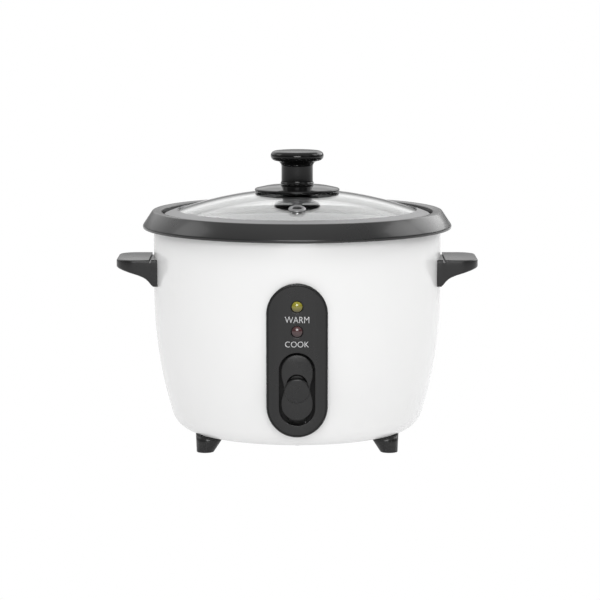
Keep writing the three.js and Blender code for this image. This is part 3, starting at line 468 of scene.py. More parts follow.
def outer_shell():
    """The drawn shell with its folded rim, cut out for the panel and the inlet."""
    fold, floor_hole_r, upright_z = 10.5, 60, 150
    rings = [(floor_hole_r, FLOOR_Z)] + wall_rings() + [
        (BODY_R, upright_z), (BODY_R, RIM_Z, 1.6), (BODY_R - fold, RIM_Z, 0.5), (BODY_R - fold, RIM_Z - SHELL),
        (BODY_R - SHELL, RIM_Z - SHELL),
    ] + wall_rings(SHELL)[::-1] + [(floor_hole_r, FLOOR_Z + SHELL)]
    shell = thrown("shell", rings)
    opening = race_track("panel_opening", 41, panel_low.z + 3, panel_high.z - 3, -BODY_R - 20, -60)
    inlet_low, inlet_high = span("power_inlet")
    inset = INLET_FLANGE - GAP
    back = block(
        "inlet_opening", (inlet_low.x + inset, 60, inlet_low.z + inset),
        (inlet_high.x - inset, BODY_R + 20, inlet_high.z - inset),
    )
    return carve(shell, opening, back)


deliver(outer_shell(), WHITE, "base", "white_paint", "outer_body")


def foot(name):
    """A tapered foot: upright outside, slanting in under the shell."""
    low, high = span(name)
    centre = (low + high) / 2
    direction = Vector((centre.x, centre.y, 0)).normalized()
    radius, flare, height = 6.8, 0.357, high.z
    lean = -direction * flare
    rings = [(0, 0), (radius, 0, 0.4)] + [(radius + flare * z, z) for z in (4, 8, height)] + [(0, height)]
    made = thrown(name + "_moulding", rings, SMALL_SIDES, (lean.x, lean.y))
    place(made, direction * FOOT_RING_R)
    return carve(made, shell_solid("shell_cutter"))


for side in FEET:
    deliver(foot(f"foot_{side}"), CHARCOAL, "base", "black_plastic", f"foot_{side}")


# ---------- pot ----------
def pot():
    wall, corner = 2.0, 14.0
    outside = BODY_R - WELL
    floor_z = pot_low.z
    top_z, tip_r = pot_high.z, pot_high.x
    ledge_z = RIM_Z + GAP + wall
    seat_r = BODY_R - 6.4
    land_r, inner_z = BODY_R + 0.7, top_z - 0.8
    tip_z = top_z - 12.3
    lip_z = tip_z - 1.8
    rings = [(0, floor_z)] + sweep(outside - corner, floor_z + corner, corner, -90, 0, 10) + [
        (outside, 120), (outside, ledge_z - wall, 0.8), (seat_r + wall, ledge_z - wall, 0.8),
        (seat_r + wall, inner_z - wall, 0.8), (land_r - 0.9, top_z - wall, 0.6), (tip_r - wall, tip_z, 0.5),
        (tip_r - wall, lip_z), (tip_r - 0.5, lip_z, 0.3), (tip_r, tip_z + 0.2, 0.9), (land_r + 0.1, top_z, 1.2),
        (seat_r, inner_z, 0.9), (seat_r, ledge_z, 1.4), (outside - wall, ledge_z, 0.9), (outside - wall, 120),
    ] + sweep(outside - corner, floor_z + corner, corner - wall, 0, -90, 10) + [(0, floor_z + wall)]
    made = thrown("pot_with_flange", rings)
    made.data.materials.append(COATING)
    made.data.materials.append(POT_INSIDE)
    for face in made.data.polygons:
        centre = face.center / MM
        inside = math.hypot(centre.x, centre.y) < outside - wall + 0.5 and centre.z > floor_z + 0.5
        outward = face.normal.x * centre.x + face.normal.y * centre.y > 0.05 * centre.to_2d().length
        face.material_index = 1 if inside and not outward and face.normal.z > -0.5 else 0
    return made


deliver(pot(), COATING, "pot", "coated_pot", "inner_pot")


# ---------- lid ----------
GLASS_THICK = 4.0
VENT_RING_R = 72.0
DOME_RISE = 20.3
SCREW_R = 3  # of the hole for the knob's screw
glass_high = span("lid_glass")[1]
glass_r, apex_z = glass_high.x, glass_high.z
sphere_r = (glass_r**2 + DOME_RISE**2) / (2 * DOME_RISE)
sphere_z = apex_z - sphere_r


def dome_z(r, lift=0.0):
    """Height of the dome's outside at a radius, lifted by that much."""
    return sphere_z + math.sqrt((sphere_r + lift) ** 2 - r**2)


def dome_rings(start, end, lift, steps):
    """Rings along the dome between two radii, lifted off its outside by that much."""
    reaches = [start + (end - start) * i / steps for i in range(steps + 1)]
    return [(r, dome_z(r, lift)) for r in reaches]


def over_vent(obj):
    """Moves a piece made on the axis to the vent, square to the glass."""
    ring = VENT_RING_R
    return place(obj, (0, -ring, dome_z(ring)), (math.degrees(math.asin(ring / sphere_r)), 0, 0))


def glass_dome():
    hole_r, vent_r, edge_round = 3.3, 5.1, 1.2
    under = dome_rings(hole_r, glass_r, -GLASS_THICK, 18)
    over = dome_rings(glass_r, hole_r, 0, 18)
    under[-1] += (edge_round,)
    over[0] += (edge_round,)
    made = thrown("glass_dome", under + over)
    bore = place(drum("vent_bore", vent_r, -12, 12), turn=(90, 0, 0))
    carve(made, over_vent(bore))
    return closed(made)


def rolled_band():
    """The steel band that laps over the glass's edge and turns in under it."""
    lap, sheet = 10.0, 0.8
    outer, bottom = band_high.x, band_low.z
    inner, under_r = glass_r - lap, glass_r - lap / 2
    over, under = GAP + sheet, -GLASS_THICK - GAP
    rings = [
        (under_r, dome_z(under_r, under - sheet)), (glass_r - 2, bottom, 0.3), (outer, bottom, 0.5),
        (outer, dome_z(outer - 0.5, over) - 0.4, 1.0),
    ] + dome_rings(outer - 0.9, inner, over, 5) + dome_rings(inner, glass_r + 0.2, 0.05, 5) + [
        (glass_r + 0.2, bottom + sheet), (under_r, dome_z(under_r, under)),
    ]
    return thrown("rolled_band", rings)


def eyelet():
    """The steam vent's rolled ring, clinched under the glass."""
    t, hole, barrel, flange = 1.0, 3.7, 4.8, 6.8
    under = -GLASS_THICK - 0.1
    rings = [
        (hole, under - t, 0.3), (flange - 0.6, under - t, 0.4), (flange - 0.6, under), (barrel, under),
        (barrel, 0.1), (flange, 0.1), (flange, t * 0.8, 0.4), (flange - 1.2, t + 0.9, 0.7),
        (hole + 0.7, t + 0.9, 0.4), (hole, t + 0.2),
    ]
    return over_vent(thrown("vent_eyelet_rolled", rings, SMALL_SIDES))


def knob():
    low, high = span("lid_knob")
    z, top, cap_r = low.z, high.z, high.x
    stem, edge, neck = 12.6, 3.9, 4.6
    neck_z = top - 12.6
    foot_rings = [(0, z + 0.3), (stem + 0.2, z + 0.3), (stem + 0.8, z + 0.8, 0.3), (stem, z + 2.2, 0.6)]
    flared = sweep(stem + neck, neck_z, neck, 180, 98, 8)[1:]
    cap = sweep(cap_r - edge, top - edge, edge, -88, 90, 16)
    return thrown("knob_grip", foot_rings + [(stem, neck_z)] + flared + cap + [(0, top)], 96)


def skirt():
    low, high = span("knob_skirt")
    wide, top = high.x, high.z
    seat = apex_z + 0.1
    rings = [
        (SCREW_R, seat), (9, seat), (10, apex_z + 0.9), (wide - 3, low.z + 0.2), (wide - 0.9, low.z, 0.4),
        (wide, low.z + 1.2, 0.7), (wide - 0.5, low.z + 2.5, 0.6), (wide - 2, low.z + 2.9),
        (wide - 9, top - 1.3), (19, top - 0.6), (13.9, top - 0.3, 0.3), (13.5, top, 0.2), (SCREW_R, top),
    ]
    return thrown("knob_base", rings, 128)


def boss():
    low, high = span("lid_boss")
    top = high.z + 0.1
    rings = [(SCREW_R, low.z), (high.x, low.z, 0.3), (high.x, top), (SCREW_R, top)]
    return thrown("lid_boss_moulding", rings, 96)


def washer():
    low, high = span("lid_washer")
    return thrown("lid_washer_moulding", [
        (SCREW_R, low.z), (high.x - 1.6, low.z, 0.5), (high.x, low.z + 1.4, 0.5), (high.x, high.z - 1.2, 0.4),
        (high.x - 1.4, high.z, 0.4), (SCREW_R, high.z),
    ], 96)


deliver(glass_dome(), GLASS, "lid", "glass", "lid_glass")
deliver(rolled_band(), BAND_STEEL, "lid", "steel", "lid_band")
deliver(eyelet(), BAND_STEEL, "lid", "steel", "vent_eyelet")
deliver(knob(), SATIN_BLACK, "lid", "black_plastic", "lid_knob")
deliver(skirt(), SATIN_BLACK, "lid", "black_plastic", "knob_skirt")
deliver(boss(), SATIN_BLACK, "lid", "black_plastic", "lid_boss")
deliver(washer(), SILICONE, "lid", "silicone", "lid_washer")


# ---------- handles ----------
def handle():
    """The grip on the +X side, flared into the shell, with a groove in its top beside the shell."""
    top = RIM_Z - 25.2
    tip, half = grip_high.x, grip_high.y
    root, foot_z, tip_thick = BODY_R - 12, top - 21.6, 6.9
    flare = [  # out from the shell, down from the top
        (-0.4, 21.3), (1.3, 19.7), (3.1, 17.4), (5.3, 15.3), (7.4, 14.0), (11.7, 12.2), (17.5, 10.4),
        (25.4, 7.9),
    ]
    underside = [(BODY_R + out, top - down) for out, down in flare]
    underside = [(root, foot_z)] + underside + [(tip, top - tip_thick)]
    made = block("grip", (root, -half, foot_z), (tip, half, top))
    pick(made, lambda ps: all(abs(p.x - tip) < SAME for p in ps) and abs(ps[0].y - ps[1].y) < SAME, "EDGE")
    soften(14, 14)
    pick_sharp(made, lambda ps: not all(p.x < root + SAME for p in ps), 50)
    soften(1.5, 5)
    for x, _ in underside[1:-1]:
        bpy.ops.mesh.select_all(action="SELECT")
        bpy.ops.mesh.bisect(plane_co=(x * MM, 0, 0), plane_no=(1, 0, 0))
    mesh = bmesh.from_edit_mesh(made.data)
    low = foot_z + 1.6
    for x in sorted({round(v.co.x / MM, 4) for v in mesh.verts if v.co.z / MM < low}):
        for (x0, z0), (x1, z1) in zip(underside, underside[1:]):
            if x0 - 0.001 <= x <= x1 + 0.001:
                pick(made, lambda ps: abs(ps[0].x - x) < 0.0002 and ps[0].z < low)
                shift(z=z0 + (z1 - z0) * (x - x0) / (x1 - x0) - foot_z)
                break
    closed(made)
    groove_in, groove_out, deep, past = BODY_R + 0.9, BODY_R + 2.9, 2.2, 5
    groove = block("groove", (groove_in, -half - past, top - deep), (groove_out, half + past, top + past))
    pick(groove, lambda ps: all(p.z < top for p in ps) and abs(ps[0].y - ps[1].y) > half, "EDGE")
    soften(0.7, 3)
    closed(groove)
    carve(made, groove, shell_solid("shell_cutter"))
    return closed(made)


grip_right = handle()
grip_right.name = "grip_right"
grip_left = copied(grip_right, "grip_left", turn=(0, 0, 180))
deliver(grip_right, CHARCOAL, "base", "black_plastic", "handle_right")
deliver(grip_left, CHARCOAL, "base", "black_plastic", "handle_left")


# ---------- control panel ----------
FACE_R = 116.5  # that the panel's front is bent to
PANEL_WIDTH = 2 * panel_high.x
PANEL_PROUD = 3.4
DRAFT = math.degrees(math.atan2(3, panel_high.z - panel_low.z))
SLOT_WIDTH, SLOT_HEIGHT, SLOT_UP = 27.4, 56.4, 9.3
LENS_R = 3.9
LENS_HOLE_R = LENS_R + 0.75
LENS_PLACES = {"warm": panel_high.z - 17.8, "cook": panel_high.z - 36.9}
slot_z = panel_low.z + SLOT_UP
SLOT_FRONT, SLOT_BACK = -BODY_R - 20, -60  # of the cutters that go through the panel


def bent(obj, width, strips=26):
    """Cuts a flat front into upright strips and wraps it round the cooker, then leans it to the panel's draft.

    The flat piece's front is at y = 0 at the panel's top.
    """
    take(obj)
    bpy.ops.object.mode_set(mode="EDIT")
    for i in range(1, strips):
        bpy.ops.mesh.select_all(action="SELECT")
        bpy.ops.mesh.bisect(plane_co=((i / strips - 0.5) * width * MM, 0, 0), plane_no=(1, 0, 0))
    bpy.ops.object.mode_set(mode="OBJECT")
    xs = [v.co.x for v in obj.data.vertices]
    wrap = obj.modifiers.new("wrap", "SIMPLE_DEFORM")
    wrap.deform_method = "BEND"
    wrap.deform_axis = "Z"
    wrap.angle = (max(xs) - min(xs)) / (FACE_R * MM)
    take(obj)
    bpy.ops.object.modifier_apply(modifier=wrap.name)
    place(obj, (0, 0, -panel_high.z))
    return place(obj, (0, -BODY_R - PANEL_PROUD, panel_high.z), (DRAFT, 0, 0))


def out_of_slot(p, half, z0, z1):
    """How far a point is outside an upright slot's outline, seen from the front."""
    z = min(max(p.z, z0 + half), z1 - half)
    return math.hypot(p.x, p.z - z) - half


def panel():
    """The bent moulding, with an engraved line inside its edge, a slot and two lens holes."""
    rim, line, line_deep, edge_round, wall = 1.25, 0.28, 0.35, 0.95, 2.5
    made = race_track("panel_moulding", PANEL_WIDTH, panel_low.z, panel_high.z, 0, 22)
    pick(made, lambda ps: all(abs(p.y) < SAME for p in ps), "FACE")
    bpy.ops.mesh.inset(thickness=rim * MM, depth=0)
    for depth in (-line_deep, line_deep):
        bpy.ops.mesh.inset(thickness=line * MM, depth=depth * MM)
    pick(made, lambda ps: all(abs(p.y) < SAME for p in ps)
         and all(out_of_slot(p, PANEL_WIDTH / 2, panel_low.z, panel_high.z) > -0.2 for p in ps), "EDGE")
    soften(edge_round, 4)
    closed(made)
    carve(made, race_track("hollow", PANEL_WIDTH - 2 * wall, panel_low.z + wall, panel_high.z - wall, wall, 40))
    bent(made, PANEL_WIDTH)
    slot = race_track("slot", SLOT_WIDTH, slot_z, slot_z + SLOT_HEIGHT, SLOT_FRONT, SLOT_BACK)
    holes = [drum(name + "_hole", LENS_HOLE_R, SLOT_FRONT, SLOT_BACK, z=z) for name, z in LENS_PLACES.items()]
    carve(made, slot, *holes, shell_solid("shell_cutter"))
    take(made)
    bpy.ops.object.mode_set(mode="EDIT")

    def mouth(ps):
        if any(math.hypot(p.x, p.y) < FACE_R - 1.9 for p in ps):
            return False
        on_slot = all(abs(out_of_slot(p, SLOT_WIDTH / 2, slot_z, slot_z + SLOT_HEIGHT)) < 0.1 for p in ps)
        return on_slot or any(
            all(abs(math.hypot(p.x, p.z - z) - LENS_HOLE_R) < 0.06 for p in ps) for z in LENS_PLACES.values())

    pick_sharp(made, mouth, 50)
    soften(0.5, 3)
    return closed(made, math.radians(28))


def slot_shade_box():
    """A near-black box behind the slot, open to the front, with a way through for the paddle's stem; its black
    is painted shade, standing in for the dark deep in the slot.
    """
    width, wall, low_z, high_z = 39, 1, panel_low.z + 4, 96
    front, back_in, back = -111, -105.2, -102.6
    made = race_track("slot_shade_box", width, low_z, high_z, front, back)
    hollow = race_track("shade_box_hollow", width - 2 * wall, low_z + wall, high_z - wall, front - 2, back_in)
    return closed(carve(made, hollow, block("stem_way", (-6.5, -107, 28.8), (6.5, -100, 41.6))))


deliver(panel(), CHARCOAL, "base", "black_plastic", "control_panel")
deliver(slot_shade_box(), SHADE_BLACK, "base", "black_plastic")


def lens(name, lit_top_colour, lower):
    """A domed lens, and the black seat round it."""
    z = LENS_PLACES[name]
    y = -BODY_R - PANEL_PROUD + (panel_high.z - z) * math.tan(math.radians(DRAFT))
    crown = sweep(0, -6.6, 7.3, 58, 90, 6)[:-1]
    rings = [(0, -1.4), (LENS_R + 0.5, -1.4), (LENS_R, -0.4, 0.2)] + crown + [(0, 0.7)]
    made = thrown(name + "_lens_moulding", rings, SMALL_SIDES)
    place(made, (0, y, z), (90, 0, 0))
    collar = thrown(name + "_lens_seat", [
        (LENS_R + 0.1, -2.2), (LENS_R + 1.1, -2.2), (LENS_R + 0.72, -0.5, 0.15), (LENS_R + 0.1, -0.9),
    ], SMALL_SIDES)
    place(collar, (0, y, z), (90, 0, 0))
    made.data.materials.append(lens_finish(name + "_lens", lit_top_colour, lower, z - LENS_R, z + LENS_R))
    deliver(collar, SATIN_BLACK, "base", "black_plastic")
    return made


# painted light and shade: each lens's first colour is its lit top and its second its shaded bottom
deliver(lens("warm", (0.36, 0.33, 0.02), (0.07, 0.055, 0.02)), None, "base", "amber", "warm_lens")
deliver(lens("cook", (0.085, 0.032, 0.034), (0.03, 0.014, 0.015)), None, "base", "red", "cook_lens")


def label(word, z, height, width):
    """A printed word, wrapped onto the panel's face."""
    clear_table()
    bpy.ops.object.text_add()
    obj = bpy.context.active_object
    obj.name = word.lower() + "_label"
    obj.data.body = word
    obj.data.align_x = "CENTER"
    obj.data.align_y = "CENTER"
    obj.data.extrude = 0.02 * MM
    obj.data.size = 10 * MM
    obj.data.offset = -0.1 * MM
    take(obj)
    bpy.ops.object.convert(target="MESH")
    obj = bpy.context.active_object
    bpy.ops.object.mode_set(mode="EDIT")
    bpy.ops.mesh.select_all(action="SELECT")
    bpy.ops.mesh.remove_doubles(threshold=1e-6)
    bpy.ops.object.mode_set(mode="OBJECT")
    corners = [v.co.copy() for v in obj.data.vertices]
    low = Vector(map(min, zip(*corners)))
    high = Vector(map(max, zip(*corners)))
    take(obj)
    bpy.ops.object.mode_set(mode="EDIT")
    bpy.ops.mesh.select_all(action="SELECT")
    middle = (low + high) / 2 / MM
    shift(-middle.x, -middle.y, 0)
    grow(width * MM / (high.x - low.x), height * MM / (high.y - low.y), 1)
    place(obj, (0, -0.04, z), (90, 0, 0))
    return bent(obj, width, 8)


deliver(label("WARM", panel_high.z - 27.7, 4.9, 18.5), INK, "base", "white_paint")
deliver(label("COOK", panel_high.z - 46.6, 4.4, 18.2), INK, "base", "white_paint")


# ---------- switch paddle ----------
def paddle():
    """The rocking paddle: waisted, with a scoop above its thumb rest, on the stem that holds the lever."""
    high = span("switch_paddle")[1]
    lobe, waist = high.x - 0.3, high.x - 2.2
    bottom, top = slot_z + 4.4, high.z
    face, thick = -BODY_R + 0.2, 4
    front = face - thick / 2
    middle, reach = (bottom + top) / 2 - 0.5, 10
    made = race_track("paddle", 2 * lobe, bottom, top, front, face + thick / 2)
    steps = [i / 6 for i in range(-6, 7)]
    for step in steps:
        bpy.ops.mesh.select_all(action="SELECT")
        bpy.ops.mesh.bisect(plane_co=(0, 0, (middle + step * reach) * MM), plane_no=(0, 0, 1))
    for step in steps[1:-1]:
        pick(made, lambda ps: abs(ps[0].z - middle - step * reach) < SAME)
        draw = (1 + math.cos(math.pi * step)) / 2
        grow(1 - (lobe - waist) * draw / lobe, 1, 1, (0, face, middle))
    pick_sharp(made, lambda ps: all(abs(p.y - front) < SAME for p in ps))
    soften(0.7, 3)
    closed(made)
    rest_r, rest_z, rest_front, scoop_up = 9.7, middle - 1.6, -3.6, 4.3
    clear_table()
    bpy.ops.mesh.primitive_cone_add(vertices=72, radius1=6.6 * MM, radius2=9.6 * MM, depth=6 * MM)
    carve(made, place(added("scoop"), (0, front, rest_z + scoop_up), (90, 0, 0)))
    thumb_rest = drum("thumb_rest", rest_r, rest_front, 3.4, sides=72)
    pick_sharp(thumb_rest, lambda ps: all(abs(p.y - rest_front) < SAME for p in ps))
    soften(1.3, 5)
    closed(thumb_rest)
    carve(made, place(thumb_rest, (0, front + 1.5, rest_z), (7, 0, 0)), operation="UNION")
    lever_top = 41.2
    neck = block("neck", (-3.8, face + 1, 38.6), (3.8, -100, lever_top))
    stem = block("stem", (-6.3, -104, 32.8), (6.3, -90, lever_top))
    return closed(carve(made, neck, stem, operation="UNION"), math.radians(30))


deliver(paddle(), CHARCOAL, "switch", "black_plastic", "switch_paddle")


# ---------- liner, heating plate and sensor ----------
def hole_at(name, node, radius, z, sides=SMALL_SIDES):
    """A short upright cutter through z, in line with a CAD node."""
    near, far = span(node)
    cutter = drum(name, radius, -4, 4, sides=sides)
    return place(cutter, ((near.x + far.x) / 2, (near.y + far.y) / 2, z), (90, 0, 0))


def liner():
    """The pressed bucket between the pot and the shell, with a rolled top and a hole for the thermostat."""
    low, high = span("inner_liner")
    air_gap, corner, sheet, hole_r = 3.5, 6, 1, 20
    outside = BODY_R - WELL + air_gap
    bottom, top = low.z, high.z
    rings = [(hole_r, bottom)] + sweep(outside - corner, bottom + corner, corner, -90, 0, 8) + [
        (outside, 90), (outside, 92), (outside, top - sheet, 1.5), (high.x, top - sheet), (high.x, top),
        (outside - sheet, top, 2.2), (outside - sheet, 92), (outside - sheet, 90),
    ] + sweep(outside - corner, bottom + corner, corner - sheet, 0, -90, 8) + [(hole_r, bottom + sheet)]
    made = thrown("pressed_liner", rings)
    for end in ("left", "right"):
        carve(made, hole_at(f"terminal_hole_{end}", f"element_terminal_{end}", 3.5, bottom))
    return closed(made)


def heating_plate():
    """The cast plate under the pot: a dished rim, a hole for the sensor and turned rings on its face."""
    low, high = span("heating_plate")
    wide, top, hole_r = high.x, high.z, 19.5
    rings = [
        (hole_r, low.z), (hole_r + 0.4, low.z), (wide - 3, low.z, 0.8), (wide, low.z + 3, 0.8),
        (wide, top - 1.2, 0.5), (wide - 4, top - 0.55), (wide - 8, top),
    ]
    for r in (66, 48, 32):
        rings += [(r + 0.9, top), (r + 0.5, top - 0.5), (r - 0.5, top - 0.5), (r - 0.9, top)]
    return thrown("cast_plate", rings + [(hole_r, top, 0.6)])


def sensor_cap():
    """The drawn cup that the pot presses down, with a shallow ring in its face."""
    low, high = span("sensor_cap")
    wide, top, deep = high.x, high.z, 0.3
    return thrown("sensor_cup", [
        (0, top - 1), (wide - 1, top - 1), (wide - 1, low.z), (wide, low.z), (wide, top, 0.9),
        (12.4, top), (12, top - deep), (11, top - deep), (10.6, top), (0, top),
    ], 96)


deliver(liner(), ZINC, "base", "galvanised", "inner_liner")
deliver(heating_plate(), CAST, "base", "aluminium", "heating_plate")
deliver(sensor_cap(), CAST, "sensor", "aluminium", "sensor_cap")


# ---------- base cover, screws and inlet ----------
PINS = ("live", "neutral", "earth")


def base_cover():
    """The round cover under the shell, with two rings of air slots and its screw holes."""
    low, high = span("base_cover")
    wide = high.x
    made = thrown("vented_cover", [
        (0, low.z), (wide - 7, low.z), (wide - 6, low.z + 0.45), (wide - 5, low.z), (wide, low.z, 0.5),
        (wide, high.z), (0, high.z),
    ], 128)
    half = 1.6
    slot = block("air_slot", (-7, -half, low.z - 2), (7, half, high.z + 2))
    pick(slot, lambda ps: abs(ps[0].x - ps[1].x) < SAME and abs(ps[0].y - ps[1].y) < SAME, "EDGE")
    soften(half - 0.05, 5)
    closed(slot)
    cuts = []
    for ring, (ring_r, count) in enumerate(((26, 5), (46, 8))):
        for i in range(count):
            twin = copied(slot, f"air_slot_{ring}_{i}", (ring_r, 0, 0))
            cuts.append(place(twin, turn=(0, 0, 360 * (i + 0.5 * ring) / count)))
    for number in (1, 2, 3):
        cuts.append(hole_at(f"cover_hole_{number}", f"cover_screw_{number}", 2, low.z, 32))
    bpy.data.objects.remove(slot)
    take(*cuts)
    bpy.ops.object.join()
    return closed(carve(made, bpy.context.active_object))


def screw(head_r, head_h, shank_r, length):
    """A pan-head screw with its head below z = 0 and a cross recess in it."""
    made = thrown("screw", [
        (0, -head_h), (head_r * 0.75, -head_h, 0.3), (head_r, -head_h * 0.45, 0.4), (head_r, 0, 0.15),
        (shank_r, 0), (shank_r, length, 0.3), (0, length),
    ], 40)
    long, half, top = head_r * 0.55, head_r * 0.11, -head_h * 0.4
    for turn in (0, 90):
        arm = block("recess", (-long, -half, -head_h - 1), (long, half, top))
        pick(arm, lambda ps: all(p.z > -head_h for p in ps))
        grow(0.45, 0.8, 1)
        carve(made, place(arm, turn=(0, 0, turn)))
    return closed(made)


def screws():
    """One screw, copied to each of its places."""
    head_h = 1.9
    pattern = screw(3, head_h, 1.7, 6.6)
    for name in [f"cover_screw_{number}" for number in (1, 2, 3)] + [f"foot_screw_{side}" for side in FEET]:
        low, high = span(name)
        twin = copied(pattern, name + "_steel", ((low.x + high.x) / 2, (low.y + high.y) / 2, low.z + head_h))
        deliver(twin, STAINLESS, "base", "steel", name)
    bpy.data.objects.remove(pattern)


def inlet():
    """The mains inlet: a rounded flange on the shell, a body through it, and its socket."""
    low, high = span("power_inlet")
    flange, inner = INLET_FLANGE, INLET_FLANGE + 1.4
    made = block("inlet_moulding", (low.x, low.y + 6, low.z), high)
    pick(made, lambda ps: abs(ps[0].y - ps[1].y) > 1, "EDGE")
    soften(4, 6)
    pick_sharp(made, lambda ps: all(p.y > high.y - SAME for p in ps), 50)
    soften(0.8, 3)
    closed(made)
    carve(made, shell_solid("shell_cutter", GAP))
    core = block(
        "core", (low.x + flange, low.y, low.z + flange), (high.x - flange, high.y - 2, high.z - flange))
    carve(made, core, operation="UNION")
    socket = block(
        "socket", (low.x + inner, high.y - 17, low.z + inner), (high.x - inner, high.y + 5, high.z - inner))
    pick(socket, lambda ps: abs(ps[0].y - ps[1].y) > 1 and ps[0].z > 34, "EDGE")
    soften(3, 1)
    pick(socket, lambda ps: abs(ps[0].y - ps[1].y) > 1 and ps[0].z < 30, "EDGE")
    soften(1, 3)
    closed(socket)
    carve(made, socket)
    take(made)
    bpy.ops.object.mode_set(mode="EDIT")
    pick_sharp(
        made, lambda ps: all(abs(p.y - high.y) < SAME and abs(p.x) < 11 and 28 < p.z < 41 for p in ps), 50)
    soften(0.4, 2)
    loose = Vector((0.15, 0, 0.15))
    for pin in PINS:
        near, far = span(f"inlet_pin_{pin}")
        near.y, far.y = 70, high.y - 10
        carve(made, block(f"pin_hole_{pin}", near - loose, far + loose))
    return closed(made)


def inlet_pin(name):
    low, high = span(name)
    made = block(name + "_blade", low, high)
    pick(made, lambda ps: not all(p.y < low.y + SAME for p in ps), "EDGE")
    soften(0.45, 3)
    return closed(made)


deliver(base_cover(), ZINC, "base", "galvanised", "base_cover")
screws()
deliver(inlet(), SATIN_BLACK, "base", "black_plastic", "power_inlet")
for pin in PINS:
    deliver(inlet_pin(f"inlet_pin_{pin}"), BRASS, "base", "brass", f"inlet_pin_{pin}")


# ---------- CAD nodes that stay, given their finishes ----------
FINISH_OF_SLOT = {
    "white_paint": WHITE, "black_plastic": CHARCOAL, "coated_pot": COATING, "steel": STAINLESS,
    "galvanised": ZINC, "aluminium": CAST, "glass": GLASS, "brass": BRASS, "amber": BRASS,
    "ferrite": DARK_CERAMIC, "silicone": SILICONE, "lead": BRAID,
}
for subpart in frame["record"]["subparts"]:
    node = frame["nodes"][subpart["node"]]
    if not node.hide_render:
        node.data.materials.clear()
        node.data.materials.append(FINISH_OF_SLOT[subpart["material_slot"]])


# ---------- studio ----------
def softbox(name, azimuth, elevation, size, power, reach=3.0):
    """A soft light on a sphere about the cooker; azimuth runs from the front to the right, in degrees."""
    data = bpy.data.lights.new(name, "AREA")
    data.shape = "RECTANGLE"
    data.size, data.size_y = size
    data.energy = power
    obj = bpy.data.objects.new(name, data)
    bpy.context.scene.collection.objects.link(obj)
    turn, rise = math.radians(azimuth), math.radians(elevation)
    away = Vector((math.sin(turn) * math.cos(rise), -math.cos(turn) * math.cos(rise), math.sin(rise)))
    obj.location = Vector((0, 0, 0.1)) + away * reach
    obj.rotation_euler = (-away).to_track_quat("-Z", "Y").to_euler()


def white_floor():
    """A pale matt floor that meets the backdrop without a line."""
    made = finish("pale_floor", grey(0.88), grey(0.9), (0.6, 0.7), grain=(30, 0.02, 0.1), clouds=2)
    tree = made.node_tree
    path = tree.nodes.new("ShaderNodeLightPath")
    glow = tree.nodes.new("ShaderNodeEmission")
    blend = tree.nodes.new("ShaderNodeMixShader")
    share = tree.nodes.new("ShaderNodeMapRange")
    share.inputs["To Min"].default_value = 0.5
    tree.links.new(path.outputs["Is Camera Ray"], share.inputs["Value"])
    tree.links.new(share.outputs["Result"], blend.inputs["Fac"])
    tree.links.new(tree.nodes["Principled BSDF"].outputs["BSDF"], blend.inputs[1])
    tree.links.new(glow.outputs["Emission"], blend.inputs[2])
    tree.links.new(blend.outputs["Shader"], tree.nodes["Material Output"].inputs["Surface"])
    return made


def reckoned(tree, operation, first, second):
    """What a Math node makes of an output and a second output or number."""
    step = tree.nodes.new("ShaderNodeMath")
    step.operation = operation
    tree.links.new(first, step.inputs[0])
    if isinstance(second, bpy.types.NodeSocket):
        tree.links.new(second, step.inputs[1])
    else:
        step.inputs[1].default_value = second
    return step.outputs[0]


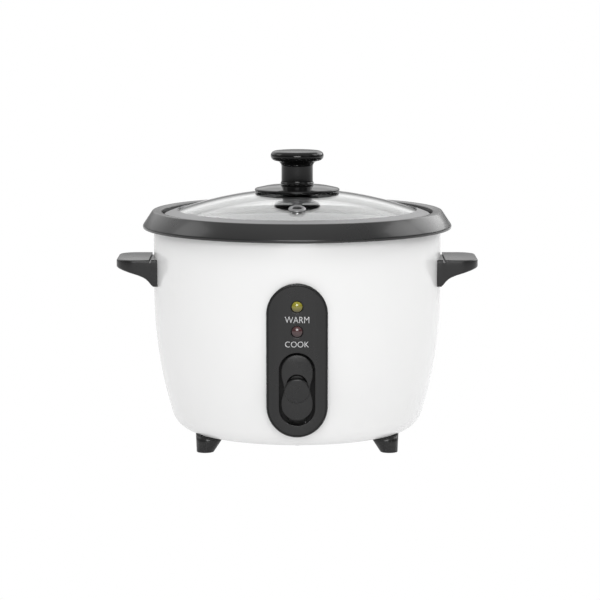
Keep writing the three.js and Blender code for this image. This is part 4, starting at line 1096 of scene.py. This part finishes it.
def backdrop():
    """A white surround for the camera, whose light comes from above, behind and a little from the left."""
    world = bpy.data.worlds.new("studio")
    world.use_nodes = True
    bpy.context.scene.world = world
    tree = world.node_tree
    sky = tree.nodes["Background"]
    sky.inputs["Color"].default_value = (1, 1, 1, 1)
    where = tree.nodes.new("ShaderNodeTexCoord")
    split = tree.nodes.new("ShaderNodeSeparateXYZ")
    tree.links.new(where.outputs["Generated"], split.inputs[0])
    rise = tree.nodes.new("ShaderNodeMapRange")
    rise.inputs["From Min"].default_value = 0.1
    rise.inputs["From Max"].default_value = 0.2
    rise.inputs["To Min"].default_value = 0.3
    tree.links.new(split.outputs["Z"], rise.inputs["Value"])
    total = None
    for axis, side, level in (("Z", 1, 0.98), ("Y", 1, 1.12), ("X", -1, 0.2)):
        value = split.outputs[axis]
        for operation, second in (("MULTIPLY", side), ("MAXIMUM", 0), ("POWER", 2), ("MULTIPLY", level)):
            value = reckoned(tree, operation, value, second)
        if axis == "Y":
            value = reckoned(tree, "MULTIPLY", value, rise.outputs["Result"])
        total = reckoned(tree, "ADD", total, value) if total else value
    path = tree.nodes.new("ShaderNodeLightPath")
    seen = tree.nodes.new("ShaderNodeMix")
    seen.inputs["B"].default_value = 1
    tree.links.new(path.outputs["Is Camera Ray"], seen.inputs["Factor"])
    tree.links.new(total, seen.inputs["A"])
    tree.links.new(seen.outputs["Result"], sky.inputs["Strength"])


def studio():
    clear_table()
    bpy.ops.mesh.primitive_plane_add(size=60)
    floor = bpy.context.active_object
    floor.name = "floor"
    floor.data.materials.append(white_floor())
    softbox("front_light", 0, 20, (1.4, 1.2), 38.5)
    softbox("right_front_light", 45, 30, (1.4, 1.4), 3.0)
    softbox("right_light", 100, 35, (1.2, 1.2), 12.4)
    softbox("left_light", -100, 35, (1.2, 1.2), 8.0)
    softbox("rim_light_left", -135, 25, (1.8, 1.4), 2.8)
    softbox("rim_light_right", 135, 25, (1.8, 1.4), 17.9)
    softbox("back_light", 180, 40, (2.4, 1.6), 6.1)
    backdrop()
    bpy.context.scene.view_settings.view_transform = "Standard"


def camera():
    tilt = 7.4184  # degrees down
    data = bpy.data.cameras.new("camera")
    data.sensor_width = 36
    data.lens = 162.34
    data.clip_end = 100
    obj = bpy.data.objects.new("camera", data)
    bpy.context.scene.collection.objects.link(obj)
    obj.location = (0.00225, -2.15541, 0.39643)
    obj.rotation_euler = (math.radians(90 - tilt), 0, 0)
    bpy.context.scene.camera = obj


studio()
camera()
